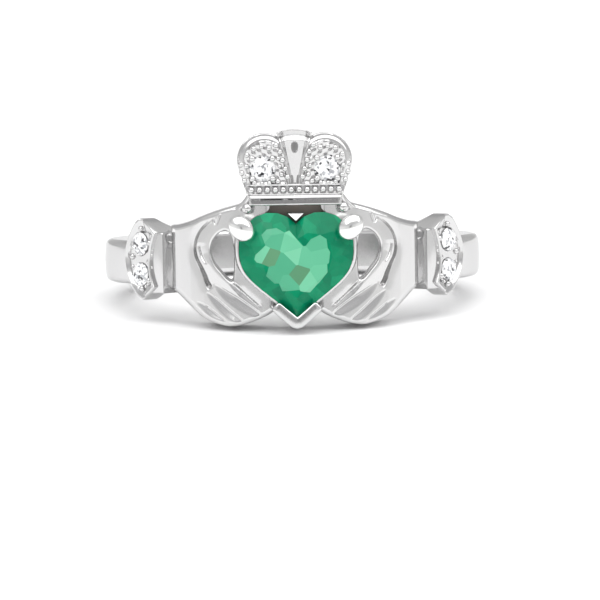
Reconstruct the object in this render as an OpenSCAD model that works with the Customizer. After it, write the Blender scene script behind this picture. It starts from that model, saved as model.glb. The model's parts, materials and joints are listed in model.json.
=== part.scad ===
/* [Band] */
// Inside diameter, where the finger goes
finger_d = 17.3; // [15:0.1:21]
// Thickness of the band, inside to outside
band_t = 1.8; // [1.4:0.05:2.2]
// Width of the band along the finger
band_w = 2.35; // [1.8:0.05:2.8]
// Rounding of the band's edges
band_round = 0.3; // [0.1:0.05:0.5]

/* [Hands] */
// How far the backs of the hands stand above the band
hand_rise = 0.5; // [0.3:0.05:0.8]
// Distance from the middle to the wrist
hand_reach = 6.6; // [6.3:0.05:6.9]
// Distance from the middle to the fingertips
tip_reach = 1.45; // [1.2:0.05:1.7]
// Height of the hands' upper edge where it meets the crown
hand_top = 3.55; // [3.4:0.05:3.8]
// Depth of the hands' lower edge below the middle of the band
hand_drop = 3.3; // [3.1:0.05:3.6]
// Width of the rounded edge of the hands
hand_edge = 0.45; // [0.3:0.05:0.6]
// Depth of the grooves between the fingers
finger_groove = 0.24; // [0.1:0.02:0.34]

/* [Sleeves] */
// Thickness of the sleeve bands above the band
sleeve_rise = 0.4; // [0.25:0.05:0.6]
// Width of a sleeve band round the finger
sleeve_w = 1; // [0.7:0.05:1.2]
// Width of the groove between hand and sleeve band
sleeve_groove = 0.3; // [0.2:0.02:0.5]
// Thickness of a cuff's plate, which stands in front of the band and the shoulder
cuff_t = 1.15; // [0.9:0.05:1.4]
// Width of the round shoulder behind each sleeve and cuff
shoulder_w = 4.1; // [3.8:0.1:4.6]
// Height of the shoulder above the middle of the band
shoulder_top = 2.42; // [2.2:0.02:2.6]

/* [Cuffs] */
// Height of a cuff, point to point
cuff_h = 4.4; // [3.9:0.1:4.6]
// Width of a cuff round the finger
cuff_w = 2.6; // [2.3:0.1:3]
// How far a cuff stands above the band
cuff_rise = 0.55; // [0.4:0.01:0.8]
// Width of a cuff's rim
cuff_rim = 0.2; // [0.15:0.01:0.3]
// Depth of the bed inside a cuff's rim
cuff_bed = 0.16; // [0.08:0.02:0.24]

/* [Heart] */
// Width of the heart stone
heart_w = 6; // [5.6:0.1:6.3]
// Height of the heart stone, lobes to tip
heart_h = 5.55; // [5.2:0.05:5.8]
// Height of the stone's table above its girdle
heart_crown = 0.75; // [0.5:0.05:1]
// Depth of the stone below its girdle
heart_pavilion = 2.25; // [1.8:0.05:2.4]
// Thickness of the girdle
heart_girdle = 0.1; // [0.06:0.01:0.16]
// Radius of the ball prongs
ball_r = 0.62; // [0.5:0.01:0.7]
// Thickness of the V prong
v_t = 0.5; // [0.35:0.05:0.6]
// Gap between each stone and its seat
seat_gap = 0.04; // [0.02:0.01:0.08]

/* [Crown] */
// Width of the crown across its lobes
crown_w = 6.1; // [5.7:0.1:6.4]
// Width of the crown at its base
crown_base_w = 5.04; // [4.6:0.02:5.4]
// Height of the lobes above the ledge
crown_h = 3.35; // [3.05:0.05:3.6]
// How far the middle fan stands above the lobes
fan_rise = 0.2; // [0.1:0.02:0.4]
// Width of the middle fan at its top
fan_w = 1.8; // [1.5:0.05:2]
// Thickness of the crown, back to front
crown_t = 1.85; // [1.5:0.05:2.2]
// Width of the sloping shoulder round the lobes
crown_shoulder = 0.4; // [0.25:0.05:0.5]
// Height of the plain ledge under the crown
ledge_h = 0.47; // [0.35:0.01:0.6]

/* [Small stones] */
// Diameter of the crown's round stones
crown_stone_d = 1.4; // [1.2:0.05:1.5]
// Diameter of the cuffs' round stones
cuff_stone_d = 1.25; // [1.1:0.05:1.35]
// Radius of the beads that hold them
bead_r = 0.17; // [0.12:0.01:0.2]

/* [Hidden] */
$fn = 48;

finger_r = finger_d / 2;
band_r = finger_r + band_t;
// How far the band reaches into the finger hole before it is bored
band_overlap = 0.3;

// The ring lies on its side on two points, the hands' lower edges, and on the
// back of the band, so it leans by this angle.
rest_x = hand_reach * 0.52;
rest_y = sqrt(finger_r * finger_r - rest_x * rest_x);
lean = -atan((hand_drop - band_w / 2) / (band_r + rest_y));

// Room between the finger hole and the culet, and behind the crown
culet_clear = 0.45;
crown_clear = 0.6;
// Depths along the front, measured forward from the finger's axis
culet_y = finger_r + culet_clear;
girdle_y = culet_y + heart_pavilion;
table_y = girdle_y + heart_crown;
crown_front_y = finger_r + crown_clear + crown_t;
cut_reach = 3 * band_r;

function mix(a, b, t) = a + (b - a) * t;
function clamp01(t) = max(0, min(1, t));
// A cubic curve through the ends of p, pulled by its two middle points
function curve(p, t) = pow(1 - t, 3) * p[0] + 3 * t * pow(1 - t, 2) * p[1]
    + 3 * t * t * (1 - t) * p[2] + t * t * t * p[3];
// Straight-line lookup of column c in a table sorted by its first column
function look(rows, x, c, i = 0) =
    i >= len(rows) - 2 || x <= rows[i + 1][0]
    ? mix(rows[i][c], rows[i + 1][c],
        clamp01((x - rows[i][0]) / (rows[i + 1][0] - rows[i][0])))
    : look(rows, x, c, i + 1);

// Heart outline, seen from the front: a round lobe and a side that runs to the
// tip. Points are [x, z] for half a heart, from the cleft round to the tip.
lobe_r = heart_w * 0.283;
lobe_x = heart_w / 2 - lobe_r;
lobe_z = heart_h / 2 - lobe_r;
cleft_angle = acos(-lobe_x / lobe_r);
lobe_steps = 9;
side_steps = 9;
side_curve = [
    [heart_w / 2, lobe_z],
    [heart_w * 0.515, -heart_h * 0.11],
    [heart_w * 0.415, -heart_h * 0.135],
    [0, -heart_h / 2],
];
heart_half = concat(
    [for (i = [0:lobe_steps])
        let (a = cleft_angle * (1 - i / lobe_steps))
        [i == 0 ? 0 : lobe_x + lobe_r * cos(a), lobe_z + lobe_r * sin(a)]],
    [for (i = [1:side_steps]) curve(side_curve, i / side_steps)]
);
heart_outline = concat(
    heart_half,
    [for (i = [len(heart_half) - 2:-1:1]) [-heart_half[i][0], heart_half[i][1]]]
);

function heart_ring(k, y) = [for (p = heart_outline) [k * p[0], -y, k * p[1]]];

// A closed skin over equal rings of n points, with a flat cap on each end
module skin(rings) {
    n = len(rings[0]);
    count = len(rings);
    polyhedron(
        points = [for (r = rings) each r],
        faces = concat(
            [[for (i = [0:n - 1]) i]],
            [for (k = [0:count - 2]) for (i = [0:n - 1])
                let (j = (i + 1) % n) [k * n + i, (k + 1) * n + i, k * n + j]],
            [for (k = [0:count - 2]) for (i = [0:n - 1])
                let (j = (i + 1) % n) [k * n + j, (k + 1) * n + i, (k + 1) * n + j]],
            [[for (i = [n - 1:-1:0]) (count - 1) * n + i]]
        )
    );
}

// A ring of n-sided sections that closes on itself: the first ring meets the last
module closed_skin(rings) {
    n = len(rings[0]);
    count = len(rings);
    polyhedron(
        points = [for (r = rings) each r],
        faces = concat(
            [for (k = [0:count - 1]) for (i = [0:n - 1])
                let (j = (i + 1) % n, m = (k + 1) % count)
                [k * n + i, m * n + i, k * n + j]],
            [for (k = [0:count - 1]) for (i = [0:n - 1])
                let (j = (i + 1) % n, m = (k + 1) % count)
                [k * n + j, m * n + i, m * n + j]]
        )
    );
}

// The heart stone: table, crown facets, girdle and pavilion, grown by gap for its seat
table_share = 0.62;
culet_share = 0.03;
module heart_cut(gap) {
    k = 1 + 2 * gap / heart_w;
    skin([
        heart_ring(table_share * k, table_y + gap),
        heart_ring(k, girdle_y + heart_girdle / 2 + gap / 2),
        heart_ring(k, girdle_y - heart_girdle / 2 - gap / 2),
        heart_ring(culet_share, culet_y - gap),
    ]);
}

// A round brilliant of diameter d, its girdle at the origin and its table up
module brilliant(d) {
    table_r = 0.28 * d;
    girdle_r = 0.5 * d;
    table_h = 0.16 * d;
    edge_h = 0.015 * d;
    depth = 0.43 * d;
    star_r = 0.379 * d;
    star_h = edge_h + (table_h - edge_h) * (girdle_r - star_r * cos(22.5))
        / (girdle_r - table_r);
    half_r = 0.115 * d;
    half_h = -edge_h - depth * (1 - half_r * cos(22.5) / girdle_r);
    // points: table 0-7, star tips 8-15, upper girdle 16-31, lower girdle 32-47,
    // lower-half tips 48-55, culet 56
    points = concat(
        [for (i = [0:7]) [table_r * cos(45 * i), table_r * sin(45 * i), table_h]],
        [for (i = [0:7]) [star_r * cos(45 * i + 22.5), star_r * sin(45 * i + 22.5), star_h]],
        [for (i = [0:15]) [girdle_r * cos(22.5 * i), girdle_r * sin(22.5 * i), edge_h]],
        [for (i = [0:15]) [girdle_r * cos(22.5 * i), girdle_r * sin(22.5 * i), -edge_h]],
        [for (i = [0:7]) [half_r * cos(45 * i + 22.5), half_r * sin(45 * i + 22.5), half_h]],
        [[0, 0, -edge_h - depth]]
    );
    faces = concat(
        [[7, 6, 5, 4, 3, 2, 1, 0]],
        [for (i = [0:7]) each let (
            n = (i + 1) % 8,
            p = (i + 7) % 8,
            mid = 16 + 2 * i,
            up = 17 + 2 * i,
            next = 16 + 2 * n,
            low = 32 + 2 * i,
            low_up = 33 + 2 * i,
            low_next = 32 + 2 * n
        ) [
            [i, n, 8 + i],
            [i, 8 + i, mid],
            [i, mid, 8 + p],
            [8 + i, up, mid],
            [8 + i, next, up],
            [mid, up, low],
            [up, low_up, low],
            [up, next, low_up],
            [next, low_next, low_up],
            [low, low_up, 48 + i],
            [low_up, low_next, 48 + i],
            [low, 48 + i, 56],
            [low_next, 56, 48 + i],
        ]]
    );
    polyhedron(points = points, faces = faces);
}

// Sends a shape whose up is outward to the front, at height z, turned about the
// finger's axis by angle a from the front
module facing(a, r, z) {
    rotate([0, 0, a]) translate([0, -r, z]) rotate([90, 0, 0]) children();
}

// The plain band, open at the front between the two wrists
open_angle = 35;
module shank() {
    rotate([0, 0, open_angle - 90]) rotate_extrude(angle = 360 - 2 * open_angle)
        band_profile(band_r, -band_w / 2, band_w / 2, band_round);
}

// A section of wall from inside the finger hole to radius r, with rounded outer edges,
// whose corner cutters reach clear of the band
module band_profile(r, low, high, round) {
    inside = finger_r - band_overlap;
    clear = 1;
    past = round + clear;
    difference() {
        translate([inside, low]) square([r - inside, high - low]);
        for (s = [[low, 1], [high, -1]]) translate([r, s[0]]) difference() {
            translate([-round, s[1] > 0 ? -clear : -round]) square([past, past]);
            translate([-round, s[1] * round]) circle(r = round);
        }
    }
}

// Hands: a height field over x and z, whose back stays inside the finger hole.
// Shares of hand_reach along x, of hand_top for the upper edge and of hand_drop
// for the lower edge
hand_rows = [
    // x, upper, lower, rise
    [0.2, 1, 0.78, 0.8],
    [0.37, 1, 0.94, 0.9],
    [0.5, 0.9, 1, 1],
    [0.61, 0.835, 0.965, 1],
    [0.74, 0.74, 0.885, 0.95],
    [0.87, 0.62, 0.655, 0.75],
    [0.96, 0.6, 0.45, 0.45],
    [1, 0.585, 0.4, 0.25],
];
function hand_upper(x) = hand_top * look(hand_rows, x / hand_reach, 1);
function hand_lower(x) = -hand_drop * look(hand_rows, x / hand_reach, 2);

// Finger grooves: start x, z and end x, z as shares of hand_reach and hand_drop,
// and how far the groove sags below the straight line
grooves = [
    [0.79, -0.6, 0.54, -1.01, 0.05],
    [0.7, -0.47, 0.39, -0.91, 0.06],
    [0.64, -0.34, 0.29, -0.84, 0.06],
    [0.72, 0.02, 0.24, -0.79, 0.01],
];
groove_w = 0.17;
// Depth of the groove between fingers at x, z: a leaf that fades at its ends
function groove_at(g, x, z) =
    let (
        x0 = g[0] * hand_reach,
        x1 = g[2] * hand_reach,
        t = (x0 - x) / (x0 - x1),
        line_z = hand_drop * (mix(g[1], g[3], t) - g[4] * 4 * t * (1 - t)),
        off = (z - line_z) * 0.8 / groove_w
    )
    t <= 0 || t >= 1 ? 0
    : finger_groove * exp(-off * off) * min(1, 6 * t * (1 - t));

// The crease between thumb and palm: a bow that turns round the window
crease_x = hand_reach * 0.81;
crease_z = hand_top * 0.28;
crease_w = 0.17;
function crease_at(x, z) =
    let (
        d = z - crease_z,
        line_x = crease_x - (d > 0 ? 0.386 : 0.163) * d * d,
        off = (x - line_x) / crease_w,
        fade = clamp01((z + 1.3) / 0.3) * clamp01((2.75 - z) / 0.3)
    )
    0.8 * finger_groove * fade * exp(-off * off);

function edge_drop(d) =
    let (t = 1 - clamp01(d / hand_edge))
    hand_edge * (1 - sqrt(1 - t * t));

function hand_radius(x, z) =
    let (
        rise = hand_rise * look(hand_rows, x / hand_reach, 3),
        edge = edge_drop(hand_upper(x) - z) + edge_drop(z - hand_lower(x)),
        relief = crease_at(x, z) + max([for (g = grooves) groove_at(g, x, z)])
    )
    band_r + rise - edge - relief;

function hand_point(x, z) = [x, -sqrt(pow(hand_radius(x, z), 2) - x * x), z];

hand_columns = 34;
hand_lines = 36;
// The hands' flat inside, hidden in the finger hole until it is bored
hand_back = finger_r * 0.57;
module hand_block() {
    n = hand_lines + 1;
    xs = [for (i = [0:hand_columns]) mix(tip_reach, hand_reach, i / hand_columns)];
    front = [for (x = xs) for (j = [0:hand_lines])
        hand_point(x, mix(hand_lower(x), hand_upper(x), j / hand_lines))];
    back = [for (x = xs) each [[x, -hand_back, hand_lower(x)], [x, -hand_back, hand_upper(x)]]];
    b = len(front);
    last = hand_columns;
    polyhedron(
        points = concat(front, back),
        faces = concat(
            [for (i = [0:last - 1]) for (j = [0:hand_lines - 1]) each [
                [i * n + j, i * n + j + 1, (i + 1) * n + j + 1],
                [i * n + j, (i + 1) * n + j + 1, (i + 1) * n + j],
            ]],
            [for (i = [0:last - 1]) each [
                [b + 2 * i, i * n, (i + 1) * n, b + 2 * i + 2],
                [b + 2 * i + 1, b + 2 * i + 3, (i + 1) * n + n - 1, i * n + n - 1],
                [b + 2 * i, b + 2 * i + 2, b + 2 * i + 3, b + 2 * i + 1],
            ]],
            [[for (j = [hand_lines:-1:0]) j, b, b + 1]],
            [[for (j = [0:hand_lines]) last * n + j, b + 2 * last + 1, b + 2 * last]]
        )
    );
}

// The pierced window between the hand and the heart: its rounded corners
window_corners = [
    // x as a share of heart_w, z as a share of heart_h, radius
    [0.65, 0.14, 0.62],
    [0.607, 0.261, 0.36],
    [0.572, -0.112, 0.14],
];
module window() {
    rotate([90, 0, 0]) linear_extrude(cut_reach) hull() {
        for (c = window_corners) translate([c[0] * heart_w, c[1] * heart_h])
            circle(r = c[2], $fn = 32);
    }
}

// The open back of the setting, and the slot between the lobes and the ledge
opening_share = 0.84;
slot_w = 0.7 * heart_w;
slot_low = 0.325 * heart_h;
module heart_opening() {
    rotate([90, 0, 0]) linear_extrude(cut_reach) {
        polygon([for (p = heart_outline) opening_share * p]);
        translate([-slot_w / 2, slot_low]) square([slot_w, ledge_z - slot_low]);
    }
}

module hand() {
    difference() {
        hand_block();
        window();
        heart_opening();
    }
}

// The neck and the plain sleeve band between hand and cuff
function turn(length) = length / band_r * 180 / PI;
sleeve_start = asin(hand_reach / band_r) + turn(sleeve_groove);
sleeve_end = sleeve_start + turn(sleeve_w);
// The neck stands a little proud of the band and below the hand's upper edge
neck_rise = 0.06;
neck_step = 0.15;
// The sleeve band lies lower than the wrist, above and below
sleeve_step = 0.2;
sleeve_hang = 0.25;
module sleeve() {
    top = hand_upper(hand_reach);
    low = hand_lower(hand_reach);
    rotate([0, 0, open_angle - 90]) rotate_extrude(angle = sleeve_end - open_angle)
        band_profile(band_r + neck_rise, low, top - neck_step, band_round);
    rotate([0, 0, sleeve_start - 90]) rotate_extrude(angle = sleeve_end - sleeve_start)
        band_profile(band_r + sleeve_rise, low - sleeve_hang, top - sleeve_step, 1.3 * band_round);
}

// The shoulder behind sleeve and cuff: half a round boss that stands on the band,
// with a sloping edge, and narrows a little towards the finger
shoulder_profile = [
    // share of half its width, height above the finger hole as a share of band_t
    [0, -0.2],
    [0.8, -0.2],
    [0.98, 0.6],
    [1, 0.85],
    [0.62, 1.12],
    [0, 1.12],
];
module shoulder() {
    half = shoulder_w / 2;
    facing(cuff_angle + turn(0.2 * cuff_w), 0, shoulder_top - half) rotate_extrude(angle = 180)
        polygon([for (p = shoulder_profile) [p[0] * half, finger_r + p[1] * band_t]]);
}

// Cuff outline: pointed above and below, bowed out towards the band and hollow
// towards the sleeve. x runs round the finger, away from the hand.
cuff_angle = sleeve_end + turn(0.23 * cuff_w);
cuff_mid_z = 0.057 * cuff_h;
function bow(a, b, sag, n) =
    let (d = b - a, side = [d[1], -d[0]] / norm(d))
    [for (i = [0:n - 1]) let (t = i / n) a + d * t + side * sag * 4 * t * (1 - t)];
function cuff_outline() =
    let (
        top = [0.04 * cuff_w, cuff_h / 2],
        bottom = [0, -cuff_h / 2],
        upper_corner = [-0.5 * cuff_w, cuff_h * 0.32],
        lower_corner = [-0.45 * cuff_w, -cuff_h * 0.335]
    )
    concat(
        bow(bottom, top, 0.47 * cuff_w, 14),
        bow(top, upper_corner, 0.05 * cuff_w, 4),
        bow(upper_corner, lower_corner, -0.15 * cuff_w, 8),
        bow(lower_corner, bottom, 0.03 * cuff_w, 4)
    );

cuff_stone_x = 0.03 * cuff_w;
cuff_stone_z = [0.185 * cuff_h, -0.185 * cuff_h];
// Places of the small beads in a cuff, as shares of its width and height
cuff_beads = [[0.02, 0.4], [-0.26, 0.2], [0.3, 0.03], [-0.24, -0.03], [-0.22, -0.26], [0.01, -0.38]];

module at_cuff(side) {
    facing(side * cuff_angle, 0, cuff_mid_z) mirror([side < 0 ? 1 : 0, 0, 0]) children();
}

cuff_front = band_r + cuff_rise;
cuff_bed_front = cuff_front - cuff_bed;
// The girdles stand just clear of the bed
girdle_lift = 0.02;
cuff_girdle = cuff_bed_front + girdle_lift;
module cuff(side) {
    inner = 1 - 2 * cuff_rim / cuff_w;
    base = cuff_front - cuff_t;
    at_cuff(side) {
        difference() {
            translate([0, 0, base]) linear_extrude(cuff_front - base) polygon(cuff_outline());
            translate([0, 0, cuff_bed_front]) linear_extrude(cuff_rise)
                scale(inner) polygon(cuff_outline());
        }
        for (b = cuff_beads) translate([b[0] * cuff_w, b[1] * cuff_h, cuff_bed_front])
            sphere(r = bead_r, $fn = 16);
    }
}

// The room for a cuff's stones, cut through its plate and the shoulder and band behind it
module cuff_stone_spaces(side) {
    at_cuff(side) for (z = cuff_stone_z)
        translate([cuff_stone_x, z, cuff_girdle]) stone_space(cuff_stone_d);
}

// The room that a round stone of diameter d takes, with its gap: a cone each way
// from the girdle, which is at the origin
module stone_space(d) {
    r = d / 2 + seat_gap;
    belt = 0.03 * d;
    crown = 0.16 * d;
    depth = 0.46 * d;
    translate([0, 0, -belt]) cylinder(r = r, h = 2 * belt);
    translate([0, 0, belt]) cylinder(r1 = r, r2 = 0.28 * d + seat_gap, h = crown);
    translate([0, 0, belt + crown]) cylinder(r = 0.28 * d + seat_gap, h = d);
    translate([0, 0, -belt - depth]) cylinder(r1 = 0.06 * d, r2 = r, h = depth);
}

// The collet: a heart-shaped wall that carries the girdle, open behind
collet_back = culet_y - 0.25;
collet_top = girdle_y - heart_girdle / 2 - seat_gap;
collet_rings = [
    // share of the stone's outline, place from its back (0) to its top (1)
    [1.045, 1],
    [1.09, 0.63],
    [0.97, 0],
    [0.74, 0],
    [0.74, 0.63],
    [0.995, 1],
];
module collet() {
    closed_skin([for (r = collet_rings) heart_ring(r[0], mix(collet_back, collet_top, r[1]))]);
}

// Ball prongs at the shoulders and the V prong at the tip, notched for the stone
prong_x = heart_w * 0.485;
prong_z = heart_h * 0.34;
// How far the balls' middles stand in front of the girdle
prong_out = 0.42;
module ball_prong() {
    translate([prong_x, -girdle_y - prong_out, prong_z]) {
        sphere(r = ball_r, $fn = 32);
        rotate([-90, 0, 0]) cylinder(r = 0.62 * ball_r, h = girdle_y + prong_out - collet_back);
    }
}

// V prong: half its span, height of its arms' ends over the stone's tip, how far
// its point hangs below the tip, width of its blunt ends, and room under the table
v_span = 1.2;
v_high = 0.78;
v_drop = 0.55;
v_end = 0.2;
v_below_table = 0.22;
module v_prong() {
    tip = -heart_h / 2;
    arm = [
        [v_span + v_end, tip + v_high - v_t + v_end / 2],
        [v_span, tip + v_high],
        [v_span - v_end, tip + v_high],
    ];
    front_slab(collet_back, table_y - v_below_table) polygon(concat(
        [[0, tip - v_drop]],
        arm,
        [[0, tip - v_drop + v_t]],
        [for (i = [2:-1:0]) [-arm[i][0], arm[i][1]]]
    ));
}

module setting() {
    collet();
    difference() {
        union() {
            ball_prong();
            mirror([1, 0, 0]) ball_prong();
            v_prong();
        }
        heart_cut(seat_gap);
    }
}

// The crown, drawn from the front in x and z: lobes, base and fan. Its ledge
// stands a little above the hands' upper edge.
ledge_step = 0.05;
ledge_z = hand_top - ledge_h + ledge_step;
crown_z = ledge_z + ledge_h;
lobe_d = 0.475 * crown_w;
crown_lobe_x = (crown_w - lobe_d) / 2;
crown_lobe_z = crown_z + crown_h - lobe_d / 2;
fan_top_z = crown_z + crown_h + fan_rise;
crown_stone_z = crown_z + 0.44 * crown_h;
crown_stone_x = 0.28 * crown_w;
// The stones' girdles lie this far behind the crown's front
stone_sink = 0.14;
crown_girdle = crown_front_y - stone_sink;

// A flat outline in x and z, drawn out between two depths in front of the axis
module front_slab(from, to) {
    rotate([90, 0, 0]) translate([0, 0, from]) linear_extrude(to - from) children();
}

module crown_lobe() {
    side = crown_front_y - crown_shoulder;
    translate([crown_lobe_x, 0, crown_lobe_z]) rotate([90, 0, 0]) {
        translate([0, 0, finger_r]) cylinder(d = lobe_d, h = side - finger_r);
        translate([0, 0, side])
            cylinder(d1 = lobe_d, d2 = lobe_d - 2 * crown_shoulder, h = crown_shoulder);
    }
}

// The flared base between ledge and lobes, inset by the given width
module base_outline(inset) {
    low = crown_base_w / 2 - 0.6 * inset;
    high = crown_w / 2 - inset;
    top = crown_lobe_z - 0.1 * crown_h;
    foot = crown_z - ledge_step;
    polygon([[-low, foot], [low, foot], [high, top], [-high, top]]);
}

// The base stays inside the lobes' round sides
base_inset = 0.04;
module crown_base() {
    front_slab(finger_r, crown_front_y - crown_shoulder) base_outline(base_inset);
    front_slab(finger_r, crown_front_y) base_outline(crown_shoulder);
}

// How far the fan and the ledge stand in front of the crown, and the fan's foot
fan_out = 0.12;
ledge_out = 0.1;
fan_foot = 0.2;
module fan() {
    foot_z = crown_z + 0.3 * crown_h;
    front_slab(finger_r, crown_front_y + fan_out) polygon(concat(
        [[-fan_foot / 2, foot_z], [fan_foot / 2, foot_z]],
        [for (i = [0:10]) let (t = i / 10)
            [mix(fan_w / 2, -fan_w / 2, t), fan_top_z - fan_rise * 0.9 * pow(2 * t - 1, 2)]]
    ));
}

// A drop-shaped groove down the middle of the fan: two circles as height below
// the fan's top and radius
groove_drop = [[0.62, 0.12], [1.05, 0.04]];
groove_depth = 0.17;
module fan_groove() {
    front = crown_front_y + fan_out;
    front_slab(front - groove_depth, front + groove_depth) hull() {
        for (c = groove_drop) translate([0, fan_top_z - c[0]]) circle(r = c[1], $fn = 24);
    }
}

// The ledge: a plain bar with a round front, a small knob under each end, and a
// bridge behind it that joins the two hands
ledge_half = crown_base_w / 2 - 0.06;
knob_r = 0.3;
bridge_half = slot_w / 2 + 0.2;
bridge_front = finger_r + 1.65;
bridge_drop = 0.4;
module ledge() {
    front = crown_front_y + ledge_out;
    front_slab(finger_r, front) translate([-ledge_half, ledge_z]) square([2 * ledge_half, ledge_h]);
    translate([-ledge_half, -front, ledge_z + ledge_h / 2]) rotate([0, 90, 0])
        cylinder(d = ledge_h, h = 2 * ledge_half);
    front_slab(finger_r, bridge_front) translate([-bridge_half, ledge_z - bridge_drop])
        square([2 * bridge_half, bridge_drop + ledge_h / 2]);
    for (s = [-1, 1])
        translate([s * (ledge_half + 0.25 * knob_r), 0.7 * knob_r - front, ledge_z - 0.5 * knob_r])
            sphere(r = knob_r, $fn = 24);
}

// The beads round each crown stone, as angles, and how far out and up they sit
crown_beads = [45, 135, 225, 315];
bead_out = 0.06;
bead_lift = 0.1;
module crown_ornament() {
    difference() {
        union() {
            difference() {
                union() {
                    crown_lobe();
                    mirror([1, 0, 0]) crown_lobe();
                    crown_base();
                    fan();
                    ledge();
                }
                at_crown_stones() cylinder(r = crown_stone_d / 2 + seat_gap, h = crown_t);
            }
            at_crown_stones() for (a = crown_beads) rotate(a)
                translate([crown_stone_d / 2 + bead_out, 0, bead_lift]) sphere(r = bead_r, $fn = 16);
        }
        cylinder(r = finger_r + crown_clear, h = cut_reach, center = true);
        fan_groove();
        at_crown_stones() stone_space(crown_stone_d);
    }
}

module at_crown_stones() {
    for (s = [-1, 1]) facing(0, crown_girdle, crown_stone_z) translate([s * crown_stone_x, 0, 0])
        children();
}

module ring_body() {
    color("gainsboro") rotate([lean, 0, 0]) {
        difference() {
            union() {
                shank();
                for (side = [0, 1]) mirror([side, 0, 0]) {
                    hand();
                    sleeve();
                    shoulder();
                }
                cuff(1);
                cuff(-1);
            }
            cylinder(r = finger_r, h = cut_reach, center = true, $fn = 96);
            cuff_stone_spaces(1);
            cuff_stone_spaces(-1);
        }
        setting();
        crown_ornament();
    }
}

module heart_stone() {
    color("mediumseagreen") rotate([lean, 0, 0]) heart_cut(0);
}

module crown_diamond(side) {
    color("white") rotate([lean, 0, 0]) facing(0, crown_girdle, crown_stone_z)
        translate([side * crown_stone_x, 0, 0]) brilliant(crown_stone_d);
}

module cuff_diamond(side, place) {
    color("white") rotate([lean, 0, 0]) at_cuff(side)
        translate([cuff_stone_x, cuff_stone_z[place], cuff_girdle]) brilliant(cuff_stone_d);
}

ring_body();
heart_stone();
crown_diamond(-1);  // crown_diamond_left
crown_diamond(1);  // crown_diamond_right
cuff_diamond(-1, 0);  // cuff_diamond_left_upper
cuff_diamond(-1, 1);  // cuff_diamond_left_lower
cuff_diamond(1, 0);  // cuff_diamond_right_upper
cuff_diamond(1, 1);  // cuff_diamond_right_lower
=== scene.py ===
"""The looks of the claddagh ring: polished white gold, cut stones, a pale floor and soft light.

Shapes are worked out in millimetres in the ring's own frame, where Z is the finger's
axis, -Y is the front with the heart, and +X is the right side seen from the front.
`to_row` leans them as the ring lies and turns millimetres into metres.
"""

import json
import logging
import math
from dataclasses import dataclass
from enum import Enum
from typing import Any, Callable, Sequence

import bpy
import numpy as np
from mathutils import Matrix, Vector


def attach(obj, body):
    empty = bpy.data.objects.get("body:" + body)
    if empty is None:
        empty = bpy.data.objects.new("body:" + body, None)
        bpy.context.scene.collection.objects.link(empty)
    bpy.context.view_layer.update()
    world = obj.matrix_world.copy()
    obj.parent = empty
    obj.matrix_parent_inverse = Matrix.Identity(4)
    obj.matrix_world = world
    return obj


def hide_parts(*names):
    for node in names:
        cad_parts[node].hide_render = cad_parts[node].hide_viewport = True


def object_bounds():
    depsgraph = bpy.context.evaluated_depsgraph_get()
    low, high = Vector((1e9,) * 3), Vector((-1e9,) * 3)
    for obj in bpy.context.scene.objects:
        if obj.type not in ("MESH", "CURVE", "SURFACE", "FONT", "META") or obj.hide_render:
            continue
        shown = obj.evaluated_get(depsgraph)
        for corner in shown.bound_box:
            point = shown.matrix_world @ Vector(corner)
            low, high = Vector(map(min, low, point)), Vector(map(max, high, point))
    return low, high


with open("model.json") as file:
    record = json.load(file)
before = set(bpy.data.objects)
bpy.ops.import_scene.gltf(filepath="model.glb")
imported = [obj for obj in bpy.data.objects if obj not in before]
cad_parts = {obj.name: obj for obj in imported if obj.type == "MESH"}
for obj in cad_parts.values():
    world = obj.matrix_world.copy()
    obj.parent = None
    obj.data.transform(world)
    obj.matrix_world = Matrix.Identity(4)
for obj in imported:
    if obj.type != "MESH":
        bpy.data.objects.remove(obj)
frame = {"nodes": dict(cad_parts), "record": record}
CAD_LOW, CAD_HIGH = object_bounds()

LOG = logging.getLogger("claddagh_ring")
MM = 0.001
TAU = 2 * math.pi

FAR = 99.0
TINY = 1e-12

MOUNT = frame["record"]["mounts"][0]
FINGER_R = MOUNT["dims"]["r_mm"]
BAND_R = FINGER_R + 1.8
AXIS_Y, AXIS_Z = MOUNT["axis"][1], MOUNT["axis"][2]

Array = np.ndarray
Material = bpy.types.Material
Piece = bpy.types.Object
Socket = bpy.types.NodeSocket
Numbers = Sequence[float]
Places = Sequence[Numbers]
Stops = Sequence[tuple[float, tuple[float, float, float]]]


class Slot(Enum):
    """The record's slots for the finishes of the pieces that are made here."""

    METAL = "white_gold"
    GREEN = "emerald"


def to_row(points: Array) -> Array:
    """Leans points of the ring's frame about X and turns millimetres into metres.

    Args:
        points: An array whose last axis holds x, y and z in millimetres.

    Returns:
        The same points in the row's frame, in metres.
    """
    x, y, z = points[..., 0], points[..., 1], points[..., 2]
    leaned = np.stack([x, AXIS_Z * y + AXIS_Y * z, AXIS_Z * z - AXIS_Y * y], axis=-1)
    return leaned * MM


def around(angle: Array, radius: Array, z: Array) -> Array:
    """Points at an angle from the front, towards +X, on a radius about the finger.

    Args:
        angle: Angles from the front, in radians.
        radius: Distances from the finger's axis.
        z: Heights along the axis.

    Returns:
        Points x = r sin a, y = -r cos a, z.
    """
    angle, radius, z = np.broadcast_arrays(angle, radius, z)
    return np.stack([radius * np.sin(angle), -radius * np.cos(angle), z], axis=-1)


def facing(flat: Array, angle: float = 0.0) -> Array:
    """Stands a drawing up so that it faces outward at an angle from the front.

    Args:
        flat: Points u, v, h: sideways, up and outward from the finger's axis.
        angle: Angle from the front, in radians.

    Returns:
        The points in the ring's frame.
    """
    u, v, h = flat[..., 0], flat[..., 1], flat[..., 2]
    return np.stack([u * math.cos(angle) + h * math.sin(angle),
                     u * math.sin(angle) - h * math.cos(angle), v], axis=-1)


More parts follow.
